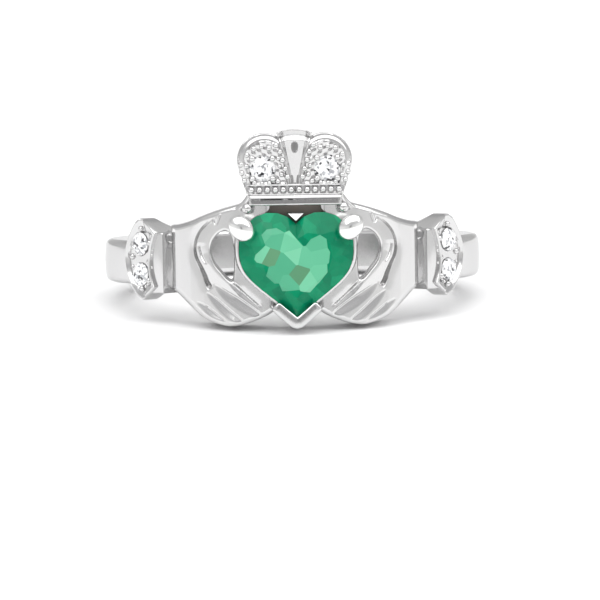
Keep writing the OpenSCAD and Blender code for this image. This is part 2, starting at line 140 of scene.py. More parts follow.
def smooth_step(x: Array) -> Array:
    """A rise from 0 to 1 over x from 0 to 1, level at both ends."""
    t = np.clip(x, 0, 1)
    return t * t * (3 - 2 * t)


def round_over(distance: Array, radius: float) -> Array:
    """How far a rounded edge drops at a distance from it: a quarter circle."""
    t = 1 - np.clip(distance / radius, 0, 1)
    return radius * (1 - np.sqrt(1 - t * t))


def curve_through(points: Places, steps: int, closed: bool = False) -> Array:
    """A smooth curve through points: cubic pieces whose ends lean along their neighbours.

    Args:
        points: The points, in order.
        steps: Points made on each piece.
        closed: Whether the last point joins the first.

    Returns:
        The points of the curve.
    """
    p = np.asarray(points, float)
    if closed:
        p = np.concatenate([p[-1:], p, p[:2]])
    else:
        p = np.concatenate([2 * p[:1] - p[1:2], p, 2 * p[-1:] - p[-2:-1]])
    t = np.linspace(0, 1, steps, endpoint=False)[None, :, None]
    a, b, c, d = (p[i:len(p) - 3 + i, None, :] for i in range(4))
    pieces = 0.5 * (2 * b + (c - a) * t + (2 * a - 5 * b + 4 * c - d) * t ** 2
                    + (3 * b - a - 3 * c + d) * t ** 3)
    curve = pieces.reshape(-1, p.shape[1])
    return curve if closed else np.concatenate([curve, p[-2:-1]])


def resample(loop: Array, count: int) -> Array:
    """Points at equal steps along a closed line.

    Args:
        loop: The line's points; the last joins the first.
        count: How many points to make.

    Returns:
        The evenly spaced points.
    """
    ring = np.concatenate([loop, loop[:1]])
    length = np.concatenate([[0], np.cumsum(np.linalg.norm(np.diff(ring, axis=0), axis=1))])
    at = np.linspace(0, length[-1], count, endpoint=False)
    return np.stack([np.interp(at, length, ring[:, k]) for k in range(ring.shape[1])], axis=-1)


def nearest_on(line: Array, points: Array) -> tuple[Array, Array, Array]:
    """Where points lie beside an open line drawn through corners.

    Args:
        line: The corners of the line, n by 2.
        points: The points, their last axis two numbers.

    Returns:
        The share of the line's length at the nearest place, the distance to it, and the
        side: 1 where the point is left of the line's direction, -1 where it is right.
    """
    start, step = line[:-1], np.diff(line, axis=0)
    size = np.linalg.norm(step, axis=1)
    run = np.concatenate([[0], np.cumsum(size)])
    away = points[..., None, :] - start
    t = np.clip((away * step).sum(-1) / (size ** 2), 0, 1)
    gap = np.linalg.norm(away - t[..., None] * step, axis=-1)
    best = gap.argmin(-1)[..., None]
    cross = step[:, 0] * away[..., 1] - step[:, 1] * away[..., 0]
    share = np.take_along_axis(run[:-1] + t * size, best, -1)[..., 0] / run[-1]
    side = np.sign(np.take_along_axis(cross, best, -1)[..., 0])
    return share, np.take_along_axis(gap, best, -1)[..., 0], side


def edge_distance(loop: Array, points: Array) -> Array:
    """Distance from points to the nearest place on a closed line."""
    return nearest_on(np.concatenate([loop, loop[:1]]), points)[1]


def ray_reach(loop: Array, centre: Array, angles: Array) -> Array:
    """How far rays from a centre run before they first meet a closed line.

    Args:
        loop: The closed line's corners.
        centre: Where the rays start.
        angles: Directions of the rays, in radians.

    Returns:
        The distance along each ray, or FAR where it meets nothing.
    """
    start = loop - centre
    step = np.roll(loop, -1, axis=0) - loop
    ray = np.stack([np.cos(angles), np.sin(angles)], axis=-1)[:, None, :]
    cross = ray[..., 0] * step[:, 1] - ray[..., 1] * step[:, 0]
    cross = np.where(np.abs(cross) < TINY, TINY, cross)
    reach = (start[:, 0] * step[:, 1] - start[:, 1] * step[:, 0]) / cross
    share = (start[:, 0] * ray[..., 1] - start[:, 1] * ray[..., 0]) / cross
    hit = (share >= 0) & (share <= 1) & (reach > 0)
    return np.where(hit, reach, FAR).min(-1)


class Shells:
    """Closed surfaces in the ring's frame, gathered into one mesh."""

    def __init__(self) -> None:
        """Starts with no surface."""
        self.points: list[Array] = []
        self.faces: list[list[int]] = []
        self.count = 0

    def add(self, grid: Array, loop: bool = False, mirror: bool = False) -> None:
        """Adds a surface over a grid of closed sections, its faces turned outward.

        Args:
            grid: Rows of sections, rows by points by 3. Each section closes on itself.
            loop: Whether the last section meets the first; if not, both ends are capped
                by a fan round the middle of the end section.
            mirror: Whether a second copy is added on the other side of the ring.
        """
        rows, columns = grid.shape[:2]
        index = np.arange(rows * columns).reshape(rows, columns)
        after = np.roll(index, -1, axis=1)
        last = rows if loop else rows - 1
        above, after_above = (np.roll(a, -1, axis=0)[:last] for a in (index, after))
        quads = np.stack([index[:last], after[:last], after_above, above], -1).reshape(-1, 4)
        points = grid.reshape(-1, 3)
        fans = np.zeros((0, 3), int)
        if not loop:
            centres = rows * columns + np.arange(2)
            fans = np.concatenate([
                np.stack([after[0], index[0], np.full(columns, centres[0])], -1),
                np.stack([index[-1], after[-1], np.full(columns, centres[1])], -1)])
            points = np.concatenate([points, grid[[0, -1]].mean(axis=1)])
        self._keep(points, quads, fans)
        if mirror:
            self._keep(points * [-1, 1, 1], quads, fans)

    def add_faces(self, points: Array, triangles: Array) -> None:
        """Adds a closed surface of triangles, turned outward as a whole."""
        self._keep(points, np.zeros((0, 4), int), triangles)

    def _keep(self, points: Array, quads: Array, triangles: Array) -> None:
        """Stores one closed surface, turned round where the volume it holds is negative.

        Args:
            points: Its points.
            quads: Its four-sided faces, as numbers of points.
            triangles: Its three-sided faces.
        """
        halves = np.concatenate([quads[:, :3], quads[:, [0, 2, 3]], triangles])
        middle = points.mean(axis=0)
        a, b, c = (points[halves[:, k]] - middle for k in range(3))
        turned = np.einsum("ij,ij->i", a, np.cross(b, c)).sum() < 0
        for faces in (quads, triangles):
            ordered = faces[:, ::-1] if turned else faces
            self.faces.extend((ordered + self.count).tolist())
        self.points.append(points)
        self.count += len(points)

    def build(self, name: str, material: Material, slot: Slot, crease_deg: float = 40.0) -> Piece:
        """Makes the object, in the row's frame, fixed to the ring.

        Args:
            name: The piece's name.
            material: Its finish.
            slot: The record's slot for the finish; not used.
            crease_deg: Edges that turn more than this stay sharp.

        Returns:
            The finished object.
        """
        mesh = bpy.data.meshes.new(name)
        mesh.from_pydata(to_row(np.concatenate(self.points)).tolist(), [], self.faces)
        mesh.materials.append(material)
        if crease_deg > 0:
            mesh.shade_smooth()
            mesh.set_sharp_from_angle(angle=math.radians(crease_deg))
        else:
            mesh.shade_flat()
        piece = bpy.data.objects.new(name, mesh)
        bpy.context.scene.collection.objects.link(piece)
        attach(piece, "root")
        LOG.info("%s: %d points, %d faces", name, self.count, len(self.faces))
        return piece


def build_pair(name: str, shapes: Sequence[Array], metal: Material,
               crease_deg: float, loop: bool = False) -> list[Piece]:
    """Makes the left and the right copy of shapes that are drawn for the right side.

    Args:
        name: The pieces' name without its side.
        shapes: Grids of closed sections.
        metal: The finish.
        crease_deg: Edges that turn more than this stay sharp.
        loop: Whether each grid's last section meets its first.

    Returns:
        The left and the right piece.
    """
    pieces = []
    for side, sign in (("left", -1), ("right", 1)):
        shells = Shells()
        for shape in shapes:
            shells.add(shape * [sign, 1, 1], loop=loop)
        pieces.append(shells.build(f"{name}_{side}", metal, Slot.METAL, crease_deg))
    return pieces


def ball(centre: Numbers, radius: float, columns: int = 12, rows: int = 7) -> Array:
    """A round bead as a grid: circles from one pole to the other.

    Args:
        centre: Its middle.
        radius: Its radius.
        columns: Points on each circle.
        rows: Circles between the poles.

    Returns:
        The grid of points.
    """
    polar = (np.arange(rows) + 0.5) / rows * math.pi
    turn = np.arange(columns) / columns * TAU
    p, t = np.meshgrid(polar, turn, indexing="ij")
    unit = np.stack([np.sin(p) * np.cos(t), -np.cos(p), np.sin(p) * np.sin(t)], axis=-1)
    return np.asarray(centre) + radius * unit


def rounded_box(low: Numbers, high: Numbers, radii: Numbers, steps: int = 6) -> Array:
    """A rectangle with round corners, as a closed line.

    Args:
        low: Its lowest corner.
        high: Its highest corner.
        radii: Radii of the corners, from the low one round anticlockwise.
        steps: Points on each round corner.

    Returns:
        The points of the line.
    """
    corners = ((low[0], low[1], 180), (high[0], low[1], 270),
               (high[0], high[1], 0), (low[0], high[1], 90))
    arcs = []
    for (x, y, start), r in zip(corners, radii):
        a = np.radians(start + np.linspace(0, 90, steps))
        inward = np.array([1 if start in (90, 180) else -1, 1 if start in (180, 270) else -1])
        arcs.append(np.array([x, y]) + r * inward + r * np.stack([np.cos(a), np.sin(a)], axis=-1))
    return np.concatenate(arcs)


@dataclass
class Plate:
    """A flat-backed form with a worked face, drawn outward from a centre to its outline."""

    outline: Array
    centre: Array
    back: float
    face: Callable[[Array, Array], Array]
    shares: Array
    wall_rows: int = 3

    def grid(self) -> Array:
        """Rows of sections: the wall from the back, then shares of the outline towards the centre.

        Returns:
            Points u, v, h, with h = face(point, distance to the outline).
        """
        spread = self.outline - self.centre
        front = self.centre + self.shares[:, None, None] * spread
        height = self.face(front, edge_distance(self.outline, front))
        wall = np.linspace(self.back, height[0], self.wall_rows + 1)[:-1]
        edge = np.broadcast_to(self.outline, (len(wall), *self.outline.shape))
        return np.concatenate([np.concatenate([edge, wall[..., None]], -1),
                               np.concatenate([front, height[..., None]], -1)])


@dataclass
class Band:
    """The plain band, the necks, the sleeve bands and the shoulders.

    Necks, sleeve bands and shoulders stand a hair outside the finger hole, each by its own gap,
    so that no two of them share a face. The band itself lies on the hole's wall, as the hands do.
    """

    outer_r: float = BAND_R
    width: float = 2.35
    edge: float = 0.3
    inner_edge: float = 0.12
    bow: float = 0.1
    open_deg: float = 35
    wrist_top: float = 1.9
    wrist_low: float = -1.32
    neck_from_deg: float = 36
    neck_to_deg: float = 46
    neck_sunk: float = 0.12
    neck_step: float = 0.15
    neck_gap: float = 0.04
    sleeve_from_deg: float = 40.8
    sleeve_to_deg: float = 46.3
    sleeve_rise: float = 0.4
    sleeve_step: float = 0.2
    sleeve_hang: float = 0.25
    sleeve_gap: float = 0.06
    sleeve_ends: Places = (
        (0, 0.955), (0.015, 0.985), (0.06, 1), (0.35, 1), (0.65, 1), (0.94, 1), (0.985, 0.985),
        (1, 0.955))
    shoulder_tops: Places = (
        (5.4, 1.8), (6.1, 1.88), (6.64, 1.99), (7.0, 2.14), (7.35, 2.31), (7.71, 2.4),
        (8.06, 2.36), (8.4, 2.24), (8.8, 2.0), (9.2, 1.5), (9.6, 0.95), (10.4, 0.6))
    shoulder_from_deg: float = 38.5
    shoulder_to_deg: float = 71
    shoulder_sunk: float = 0.08
    shoulder_slope: float = 0.85
    shoulder_gap: float = 0.02
    sink_from_deg: float = 53
    sink_top: float = 0.9

    def sweep(self, section: Array, start_deg: float, end_deg: float, steps: int) -> Array:
        """Carries a section of radius and height round the finger between two angles."""
        turn = np.radians(np.linspace(start_deg, end_deg, steps))[:, None]
        return around(turn, section[None, :, 0], section[None, :, 1])

    def build(self, metal: Material) -> Piece:
        """Makes the band with what is soldered to its ends.

        Args:
            metal: The finish.

        Returns:
            The piece.
        """
        shells = Shells()
        half = self.width / 2
        corners = (self.inner_edge, self.edge, self.edge, self.inner_edge)
        plain = resample(rounded_box((FINGER_R, -half), (self.outer_r, half), corners), 64)
        outside = plain[:, 0] > self.outer_r - self.edge
        plain[:, 0] -= outside * self.bow * (plain[:, 1] / half) ** 2
        shells.add(self.sweep(plain, self.open_deg, 360 - self.open_deg, 220))
        neck = rounded_box((FINGER_R + self.neck_gap, self.wrist_low),
                           (self.outer_r - self.neck_sunk, self.wrist_top - self.neck_step), corners)
        shells.add(self.sweep(neck, self.neck_from_deg, self.neck_to_deg, 14), mirror=True)
        sleeve = rounded_box((FINGER_R + self.sleeve_gap, self.wrist_low - self.sleeve_hang),
                             (self.outer_r + self.sleeve_rise, self.wrist_top - self.sleeve_step),
                             (self.inner_edge,) * 4, 5)
        shells.add(self._softened(sleeve), mirror=True)
        shells.add(self._shoulder(), mirror=True)
        piece = shells.build("band", metal, Slot.METAL)
        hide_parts("ring_body")
        return piece

    def _softened(self, section: Array) -> Array:
        """The sleeve band: its section carried round, drawn in about its middle at both ends.

        Args:
            section: Radii and heights of the section.

        Returns:
            Its sections, from the hand to the cuff.
        """
        middle = section.mean(axis=0)
        places, shares = np.array(self.sleeve_ends).T
        turn = self.sleeve_from_deg + places * (self.sleeve_to_deg - self.sleeve_from_deg)
        spread = middle + shares[:, None, None] * (section - middle)
        spread[..., 0] = np.maximum(spread[..., 0], FINGER_R + self.sleeve_gap)
        return around(np.radians(turn)[:, None], spread[..., 0], spread[..., 1])

    def _shoulder(self) -> Array:
        """The shoulder behind sleeve and cuff: its top follows a profile, sloped at its outer edge.

        Behind the cuff it sinks smoothly into the band.

        Returns:
            Its sections, from the hand to the band.
        """
        profile = curve_through(self.shoulder_tops, 8)
        turn = np.radians(np.linspace(self.shoulder_from_deg, self.shoulder_to_deg, 50))[:, None]
        outer, inner = self.outer_r - self.shoulder_sunk, FINGER_R + self.shoulder_gap
        slope = self.shoulder_slope
        radius = np.linspace(outer, inner, 26)
        fall = slope * np.clip((radius - (outer - slope)) / slope, 0, 1) ** 1.25
        top = np.interp(radius * np.sin(turn), profile[:, 0], profile[:, 1]) - fall
        sunk = smooth_step((np.degrees(turn) - self.sink_from_deg)
                           / (self.shoulder_to_deg - self.sink_from_deg))
        top += sunk * (np.minimum(top, self.sink_top) - top)
        low = np.zeros((len(turn), 2))
        radius = np.concatenate([[inner, outer], radius])
        return around(turn, radius, np.concatenate([low, top], axis=1))


@dataclass
class Heart:
    """The outline of the heart and the stone cut to it."""

    width: float = 6.0
    height: float = 5.55
    girdle: float = 11.35
    table: float = 12.1
    culet: float = 9.1
    belt: float = 0.1
    lobe_share: float = 0.283
    side_pull: Places = ((0.515, -0.11), (0.415, -0.135))

    def outline(self, count: int, share: float = 1.0) -> Array:
        """The heart seen from the front: a round lobe, then a cubic curve to the tip.

        Args:
            count: Points in all, evenly spaced from the cleft.
            share: Scale about the middle.

        Returns:
            Points x and z.
        """
        r = self.lobe_share * self.width
        lobe_x, lobe_z = self.width / 2 - r, self.height / 2 - r
        turn = np.linspace(math.acos(-lobe_x / r), 0, 60)
        lobe = np.stack([lobe_x + r * np.cos(turn), lobe_z + r * np.sin(turn)], axis=-1)
        pulls = np.array(self.side_pull) * [self.width, self.height]
        p = np.array([[self.width / 2, lobe_z], *pulls, [0, -0.5 * self.height]])
        t = np.linspace(0, 1, 60)[1:, None]
        side = (1 - t) ** 3 * p[0] + 3 * t * (1 - t) ** 2 * p[1]
        side = side + 3 * t ** 2 * (1 - t) * p[2] + t ** 3 * p[3]
        half = np.concatenate([lobe, side])
        whole = np.concatenate([half, half[-2:0:-1] * [-1, 1]])
        return share * resample(whole, count)

    def ring(self, share: float, depth: float, count: int) -> Array:
        """The outline at a share of its size, stood up at a distance in front of the axis."""
        flat = self.outline(count, share)
        return facing(np.concatenate([flat, np.full((count, 1), depth)], axis=-1))


@dataclass
class HeartStone:
    """The green heart: table, star, kite and girdle facets over a faceted pavilion."""

    heart: Heart
    sides: int = 16
    table_share: float = 0.62
    star: tuple[float, float] = (0.8, 0.56)
    waist: tuple[float, float] = (0.66, 0.42)
    keel: tuple[float, float] = (0.36, 0.72)
    culet_share: float = 0.04

    def build(self, green: Material) -> Piece:
        """Cuts the stone: rings of corners, each at a share of the outline and of the depth.

        Args:
            green: The stone's finish.

        Returns:
            The piece, which stands in for the plain solid.
        """
        h, n = self.heart, self.sides
        fine = 2 * n
        crown = h.table - h.girdle
        depth = h.girdle - h.culet
        edge = h.belt / 2
        rings = [
            h.ring(self.table_share, h.table, fine)[::2],
            h.ring(self.star[0], h.girdle + edge + self.star[1] * crown, fine)[1::2],
            h.ring(1.0, h.girdle + edge, fine),
            h.ring(1.0, h.girdle - edge, fine),
            h.ring(self.waist[0], h.girdle - self.waist[1] * depth, fine)[1::2],
            h.ring(self.keel[0], h.girdle - self.keel[1] * depth, fine)[::2],
            h.ring(self.culet_share, h.culet, fine)[1::2],
        ]
        starts = np.cumsum([0] + [len(r) for r in rings])
        points = np.concatenate(rings + [r.mean(axis=0)[None] for r in (rings[0], rings[-1])])
        top, bottom = starts[-1], starts[-1] + 1
        i = np.arange(n)
        j = (i + 1) % n
        table, star, mid, deep, tip = (starts[k] + i for k in (0, 1, 4, 5, 6))
        table_j, mid_j, deep_j, tip_j = (starts[k] + j for k in (0, 4, 5, 6))
        main, half, main_j = (starts[2] + k for k in (2 * i, 2 * i + 1, 2 * j))
        lmain, lhalf, lmain_j = (starts[3] + k for k in (2 * i, 2 * i + 1, 2 * j))
        full, foot = np.full(n, top), np.full(n, bottom)
        faces = [
            (full, table, table_j), (table, star, table_j),
            (table, main, star), (star, main_j, table_j),
            (main, half, star), (star, half, main_j),
            (main, lmain, half), (half, lmain, lhalf),
            (half, lhalf, main_j), (main_j, lhalf, lmain_j),
            (lmain, mid, lhalf), (lhalf, mid, lmain_j),
            (lmain_j, mid, mid_j), (mid, deep_j, mid_j), (mid, deep, deep_j),
            (deep, tip, deep_j), (deep_j, tip, tip_j), (tip, foot, tip_j),
        ]
        triangles = np.concatenate([np.stack(f, axis=-1) for f in faces])
        shells = Shells()
        shells.add_faces(points, triangles)
        piece = shells.build("heart_stone_cut", green, Slot.GREEN, crease_deg=0)
        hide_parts("heart_stone")
        return piece


@dataclass
class Setting:
    """The heart's collet, its two drawn-out ball prongs, the V prong and the cleft prong."""

    heart: Heart
    wall: Places = (
        (0.97, 0), (1.02, 0.2), (1.07, 0.45), (1.09, 0.63), (1.085, 0.8), (1.065, 0.93),
        (1.045, 0.985), (1.025, 1), (1.0, 1), (0.985, 0.985), (0.95, 0.9), (0.74, 0.63), (0.74, 0.0))
    wall_points: int = 200
    tuck: float = 0.085
    tuck_above: float = 1.35
    tuck_within: float = 2.9
    seat_gap: float = 0.04
    back_drop: float = 0.25
    ball_r: tuple[float, float, float] = (0.78, 0.5, 0.61)
    ball_at: tuple[float, float, float] = (2.86, -12.03, 1.97)
    ball_turn_deg: float = 45.0
    stem_r: float = 0.4
    stem_sunk: float = 0.1
    cleft: Places = ((-0.47, 2.74), (0.0, 2.3), (0.47, 2.74))
    cleft_front: float = 0.4
    cleft_slope: float = 0.8
    v_span: float = 1.17
    v_high: float = 0.73
    v_drop: float = 0.6
    v_thick: float = 0.64
    v_below_table: float = 0.22
    v_front_edge: float = 0.16
    v_back_edge: float = 0.02
    v_sides: int = 19
    v_ends: Places = (
        (1, 0.35), (0.99, 0.6), (0.975, 0.78), (0.945, 0.92), (0.9, 0.99))

    def build(self, metal: Material, bright: Material) -> list[Piece]:
        """Makes the setting.

        Args:
            metal: The finish.
            bright: The finish of the two balls: a paler copy of the gold, a painted highlight.

        Returns:
            The setting and its balls.
        """
        shells, balls = Shells(), Shells()
        h = self.heart
        top, back = h.girdle - h.belt / 2 - self.seat_gap, h.culet - self.back_drop
        wall = [self._tucked(share, back + t * (top - back)) for share, t in self.wall]
        shells.add(np.stack(wall), loop=True)
        x, y, z = self.ball_at
        c, s = math.cos(math.radians(self.ball_turn_deg)), math.sin(math.radians(self.ball_turn_deg))
        egg = ball((0, 0, 0), 1, 40, 24) * self.ball_r @ np.array([[c, 0, s], [0, 1, 0], [-s, 0, c]])
        balls.add(egg + self.ball_at, mirror=True)
        turn = np.linspace(0, TAU, 24, endpoint=False)
        stem = np.linspace(-y - self.stem_sunk, back, 5)[:, None]
        stem_x, stem_z = x + self.stem_r * np.cos(turn), z + self.stem_r * np.sin(turn)
        shells.add(facing(np.stack(np.broadcast_arrays(stem_x, stem_z, stem), -1)), mirror=True)
        shells.add(self._v_prong(back))
        shells.add(self._cleft_prong())
        # The balls wear the paler copy of the gold: a painted highlight.
        return [shells.build("heart_setting", metal, Slot.METAL),
                balls.build("ball_prongs", bright, Slot.METAL)]

    def _tucked(self, share: float, depth: float) -> Array:
        """A ring of the collet's wall, drawn in behind the stone over the two lobes.

        Args:
            share: Scale of the heart's outline.
            depth: Distance in front of the finger's axis.

        Returns:
            The ring's points.
        """
        flat = self.heart.outline(self.wall_points)
        lobes = (smooth_step((flat[:, 1] - self.tuck_above) / 0.5)
                 * smooth_step((self.tuck_within - np.abs(flat[:, 0])) / 0.3))
        size = (share - self.tuck * lobes * (share > 0.9))[:, None]
        return facing(np.concatenate([size * flat, np.full((self.wall_points, 1), depth)], axis=-1))

    def _cleft_prong(self) -> Array:
        """The small three-cornered prong over the heart's cleft, its face sloped up to the light.

        Returns:
            Its sections: the foot, the rim and the face drawn in by a tenth.
        """
        flat = resample(np.array(self.cleft), 36)
        above = flat[:, 1] - self.cleft[1][1]
        face = self.heart.girdle + self.cleft_front - self.cleft_slope * above
        inner = flat.mean(axis=0) + 0.9 * (flat - flat.mean(axis=0))
        rows = [(flat, face - 1.0), (flat, face - 0.05), (inner, face)]
        return facing(np.stack([np.concatenate([f, h[:, None]], axis=-1) for f, h in rows]))

    def _v_prong(self, back: float) -> Array:
        """The V prong: a section across the bar, carried along the two arms of the V.

        The arms rise as sqrt(t^2 + a little), which rounds the point; their ends taper.

        Args:
            back: Where the bar starts, in front of the axis.

        Returns:
            Its sections, from end to end.
        """
        tip = -self.heart.height / 2
        span, high, low = self.v_span, tip + self.v_high, tip - self.v_drop + self.v_thick / 2
        end, taper = np.array(self.v_ends).T
        t = np.concatenate([-end, np.linspace(-0.82, 0.82, self.v_sides), end[::-1]])
        rise = np.sqrt((t * 1.04) ** 2 + 0.012) - 0.11
        path = np.stack([span * t, low + (high - low) * rise], axis=-1)
        lean = np.gradient(path, axis=0)
        lean /= np.linalg.norm(lean, axis=1)[:, None]
        out = np.stack([lean[:, 1], -lean[:, 0]], axis=-1)
        swell = np.concatenate([taper, np.ones(self.v_sides), taper[::-1]])[:, None]
        half, front = self.v_thick / 2, self.heart.table - self.v_below_table
        edges = (self.v_back_edge, self.v_back_edge, self.v_front_edge, self.v_front_edge)
        section = rounded_box((-half, back), (half, front), edges, 6)
        across = section[None, :, 0] * swell
        depth = np.broadcast_to(section[:, 1], across.shape)
        depth = np.where(depth > back + 0.5, depth - 0.2 * (1 - swell), depth)
        flat = path[:, None, :] + across[..., None] * out[:, None, :]
        return facing(np.concatenate([flat, depth[..., None]], axis=-1))


@dataclass
class Leaf:
    """A hollow between two fingers, shaped like a leaf along a line."""

    line: Places
    half_width: float
    depth: float
    taper: float = 0.6
    wall: float = 0.3

    def cut(self, points: Array) -> Array:
        """Depth of the hollow: steep under its upper edge, rising softly to its lower one.

        Args:
            points: Places x and z on the hand.

        Returns:
            The depth at each place: nothing past the line's ends or half_width beside it.
        """
        share, gap, side = nearest_on(curve_through(self.line, 6), points)
        width = self.half_width * np.clip(4 * share * (1 - share), 1e-3, 1) ** self.taper
        across = np.clip(side * gap / width, -1, 1)
        wall = smooth_step((across + 1) / self.wall)
        inside = (share > 0) & (share < 1)
        rise = 0.4 * (1 - across) + 0.2 * (1 - smooth_step((across + 0.75) / 1.75))
        return inside * self.depth * (width / self.half_width) * wall * rise


@dataclass
class Crease:
    """A fine line on the hand: a sharp V with a soft fall on both sides, perhaps flared."""

    line: Places
    half_width: float
    depth: float
    soft: float = 0.0
    flare: float = 0.0
    fade: float = 0.18
    flared_fade: float = 0.06
    soft_wide: float = 3.5

    def cut(self, points: Array) -> Array:
        """Depth of the line, fading out at both ends; a flared one grows towards its end.

        Args:
            points: Places x and z on the hand.

        Returns:
            The depth at each place: a V of half_width and a soft bell, soft_wide times as wide.
        """
        share, gap, _ = nearest_on(curve_through(self.line, 8), points)
        last = self.fade if self.flare == 0 else self.flared_fade
        fade = smooth_step(share / self.fade) * smooth_step((1 - share) / last)
        wide = 1 + self.flare * share ** 3
        sharp = self.depth * wide * np.clip(1 - gap / (wide * self.half_width), 0, 1)
        return fade * (sharp + self.soft * np.exp(-(gap / (self.soft_wide * self.half_width)) ** 2))


@dataclass
class Hand:
    """A hand: a worked surface round the pierced window, with walls to the finger hole."""

    heart: Heart
    base_r: float = BAND_R
    rise: float = 0.5
    rises: Places = (
        (1.2, 0.8), (2.4, 0.9), (3.3, 1), (4.9, 1), (5.6, 0.85), (6.2, 0.55), (6.6, 0.3))
    edge: float = 0.28
    lip: float = 0.16
    middle: tuple[float, float] = (3.85, 0.5)
    rays: int = 480
    steps: int = 104
    window: Places = (
        (4.49, 0.7), (4.42, 1.2), (4.12, 1.62), (3.72, 1.8), (3.44, 1.55), (3.31, 1.0), (3.27, 0.3),
        (3.3, -0.4), (3.38, -0.82), (3.62, -0.74), (3.95, -0.36), (4.3, 0.1))
    upper: Places = (
        (1.3, 3.57), (2.3, 3.42), (2.86, 3.24), (4.0, 2.92), (4.9, 2.6), (5.5, 2.34),
        (6.1, 2.15), (6.6, 2.07))
    lower: Places = (
        (6.6, -1.32), (6.3, -1.55), (5.75, -2.08), (5.1, -2.7), (4.4, -3.08), (3.6, -3.275),
        (2.9, -3.2), (2.2, -2.98), (1.6, -2.72), (1.15, -2.45))
    leaves: Sequence[Leaf] = (
        Leaf(((4.3, -1.08), (3.76, -1.57), (2.9, -2.17), (1.8, -2.82)), 0.31, 0.15),
        Leaf(((4.75, -1.48), (4.18, -2.07), (3.52, -2.67), (2.7, -3.18)), 0.24, 0.125),
        Leaf(((5.27, -1.98), (4.85, -2.3), (4.28, -2.78), (3.55, -3.25)), 0.21, 0.11),
        Leaf(((3.55, -0.98), (2.9, -1.58), (2.0, -2.35)), 0.15, 0.08),
    )
    creases: Sequence[Crease] = (
        Crease(((4.36, 2.5), (4.98, 1.9), (5.26, 1.39), (5.34, 0.88), (5.26, 0.37), (5.03, -0.13),
                (4.83, -0.59), (4.72, -0.93), (4.5, -1.3)), 0.075, 0.16, 0.06, 1.2),
        Crease(((5.13, 1.2), (5.08, 0.83), (4.96, 0.42), (4.72, 0.0)), 0.07, 0.07, 0.02),
        Crease(((4.36, 2.5), (4.3, 2.3), (4.2, 2.12)), 0.08, 0.07, 0.0),
        Crease(((3.95, 2.75), (4.05, 2.45), (4.2, 2.12)), 0.08, 0.07, 0.0),
        Crease(((3.4, -0.85), (2.9, -1.32), (2.4, -1.78), (1.8, -2.3)), 0.05, 0.07, 0.02),
    )
    ridges: Sequence[Crease] = (
        Crease(((4.9, 0.6), (4.76, 0.29), (4.28, -0.34), (3.53, -1.07), (2.9, -1.6)),
               0.09, 0.0, 0.07),
    )

    def _border(self) -> Array:
        """The hand's edge from the front: from the crown round by the wrist to the fingertips."""
        return np.concatenate([curve_through(self.upper, 8), curve_through(self.lower, 8)])

    def surface(self, points: Array, border: Array, window: Array) -> Array:
        """Distance of the worked face from the finger's axis.

        Args:
            points: Places x and z on the face.
            border: The hand's edge.
            window: The window's edge.

        Returns:
            The band's radius plus the hand's rise, less round edges, lines and hollows.
        """
        x = points[..., 0]
        rise = self.rise * np.interp(x, *np.array(self.rises).T)
        height = self.base_r + rise - round_over(edge_distance(border, points), self.edge)
        height -= round_over(edge_distance(window, points), self.lip)
        for leaf in self.leaves:
            height -= leaf.cut(points)
        for line in self.creases:
            height -= line.cut(points)
        for ridge in self.ridges:
            height += ridge.cut(points)
        return height

    def grid(self) -> Array:
        """Rings along rays from the window's edge out to the border, down to the finger hole and in.

        Returns:
            The grid of points; its last ring meets its first.
        """
        middle = np.array(self.middle)
        angles = (np.arange(self.rays) + 0.5) / self.rays * TAU
        unit = np.stack([np.cos(angles), np.sin(angles)], axis=-1)
        border = self._border()
        inner = ray_reach(curve_through(self.window, 12, closed=True), middle, angles)
        window = middle + inner[:, None] * unit
        outer = np.minimum(ray_reach(border, middle, angles),
                           ray_reach(self.heart.outline(240, 0.9), middle, angles))
        share = np.linspace(0, 1, self.steps)
        share = share + 0.06 * np.sin(TAU * share)
        share = np.clip(share - 0.12 * np.sin(TAU * share), 0, 1)  # closer rings near both edges
        reach = inner + share[:, None] * (outer - inner)
        front = middle + reach[..., None] * unit
        radius = self.surface(front, border, window)
        wall = np.linspace(0, 1, 5)[1:-1, None]
        hole = np.full(self.rays, FINGER_R)
        out = np.broadcast_to(front[-1], (3, *front[-1].shape))
        rows = [(front, radius), (out, radius[-1] + wall * (hole - radius[-1]))]
        back = np.linspace(1, 0, 9)[:, None]
        under = middle + (inner + back * (outer - inner))[..., None] * unit
        rows.append((under, np.full(under.shape[:2], FINGER_R)))
        into = np.broadcast_to(front[0], (3, *front[0].shape))
        rows.append((into, hole + wall * (radius[0] - hole)))
        flat = np.concatenate([r[0] for r in rows])
        depth = np.concatenate([r[1] for r in rows])
        x, z = flat[..., 0], flat[..., 1]
        return np.stack([x, -np.sqrt(depth ** 2 - x ** 2), z], axis=-1)

    def build(self, metal: Material) -> list[Piece]:
        """Makes the two hands.

        Args:
            metal: The finish.

        Returns:
            The left and the right hand.
        """
        return build_pair("hand", [self.grid()], metal, 60, loop=True)


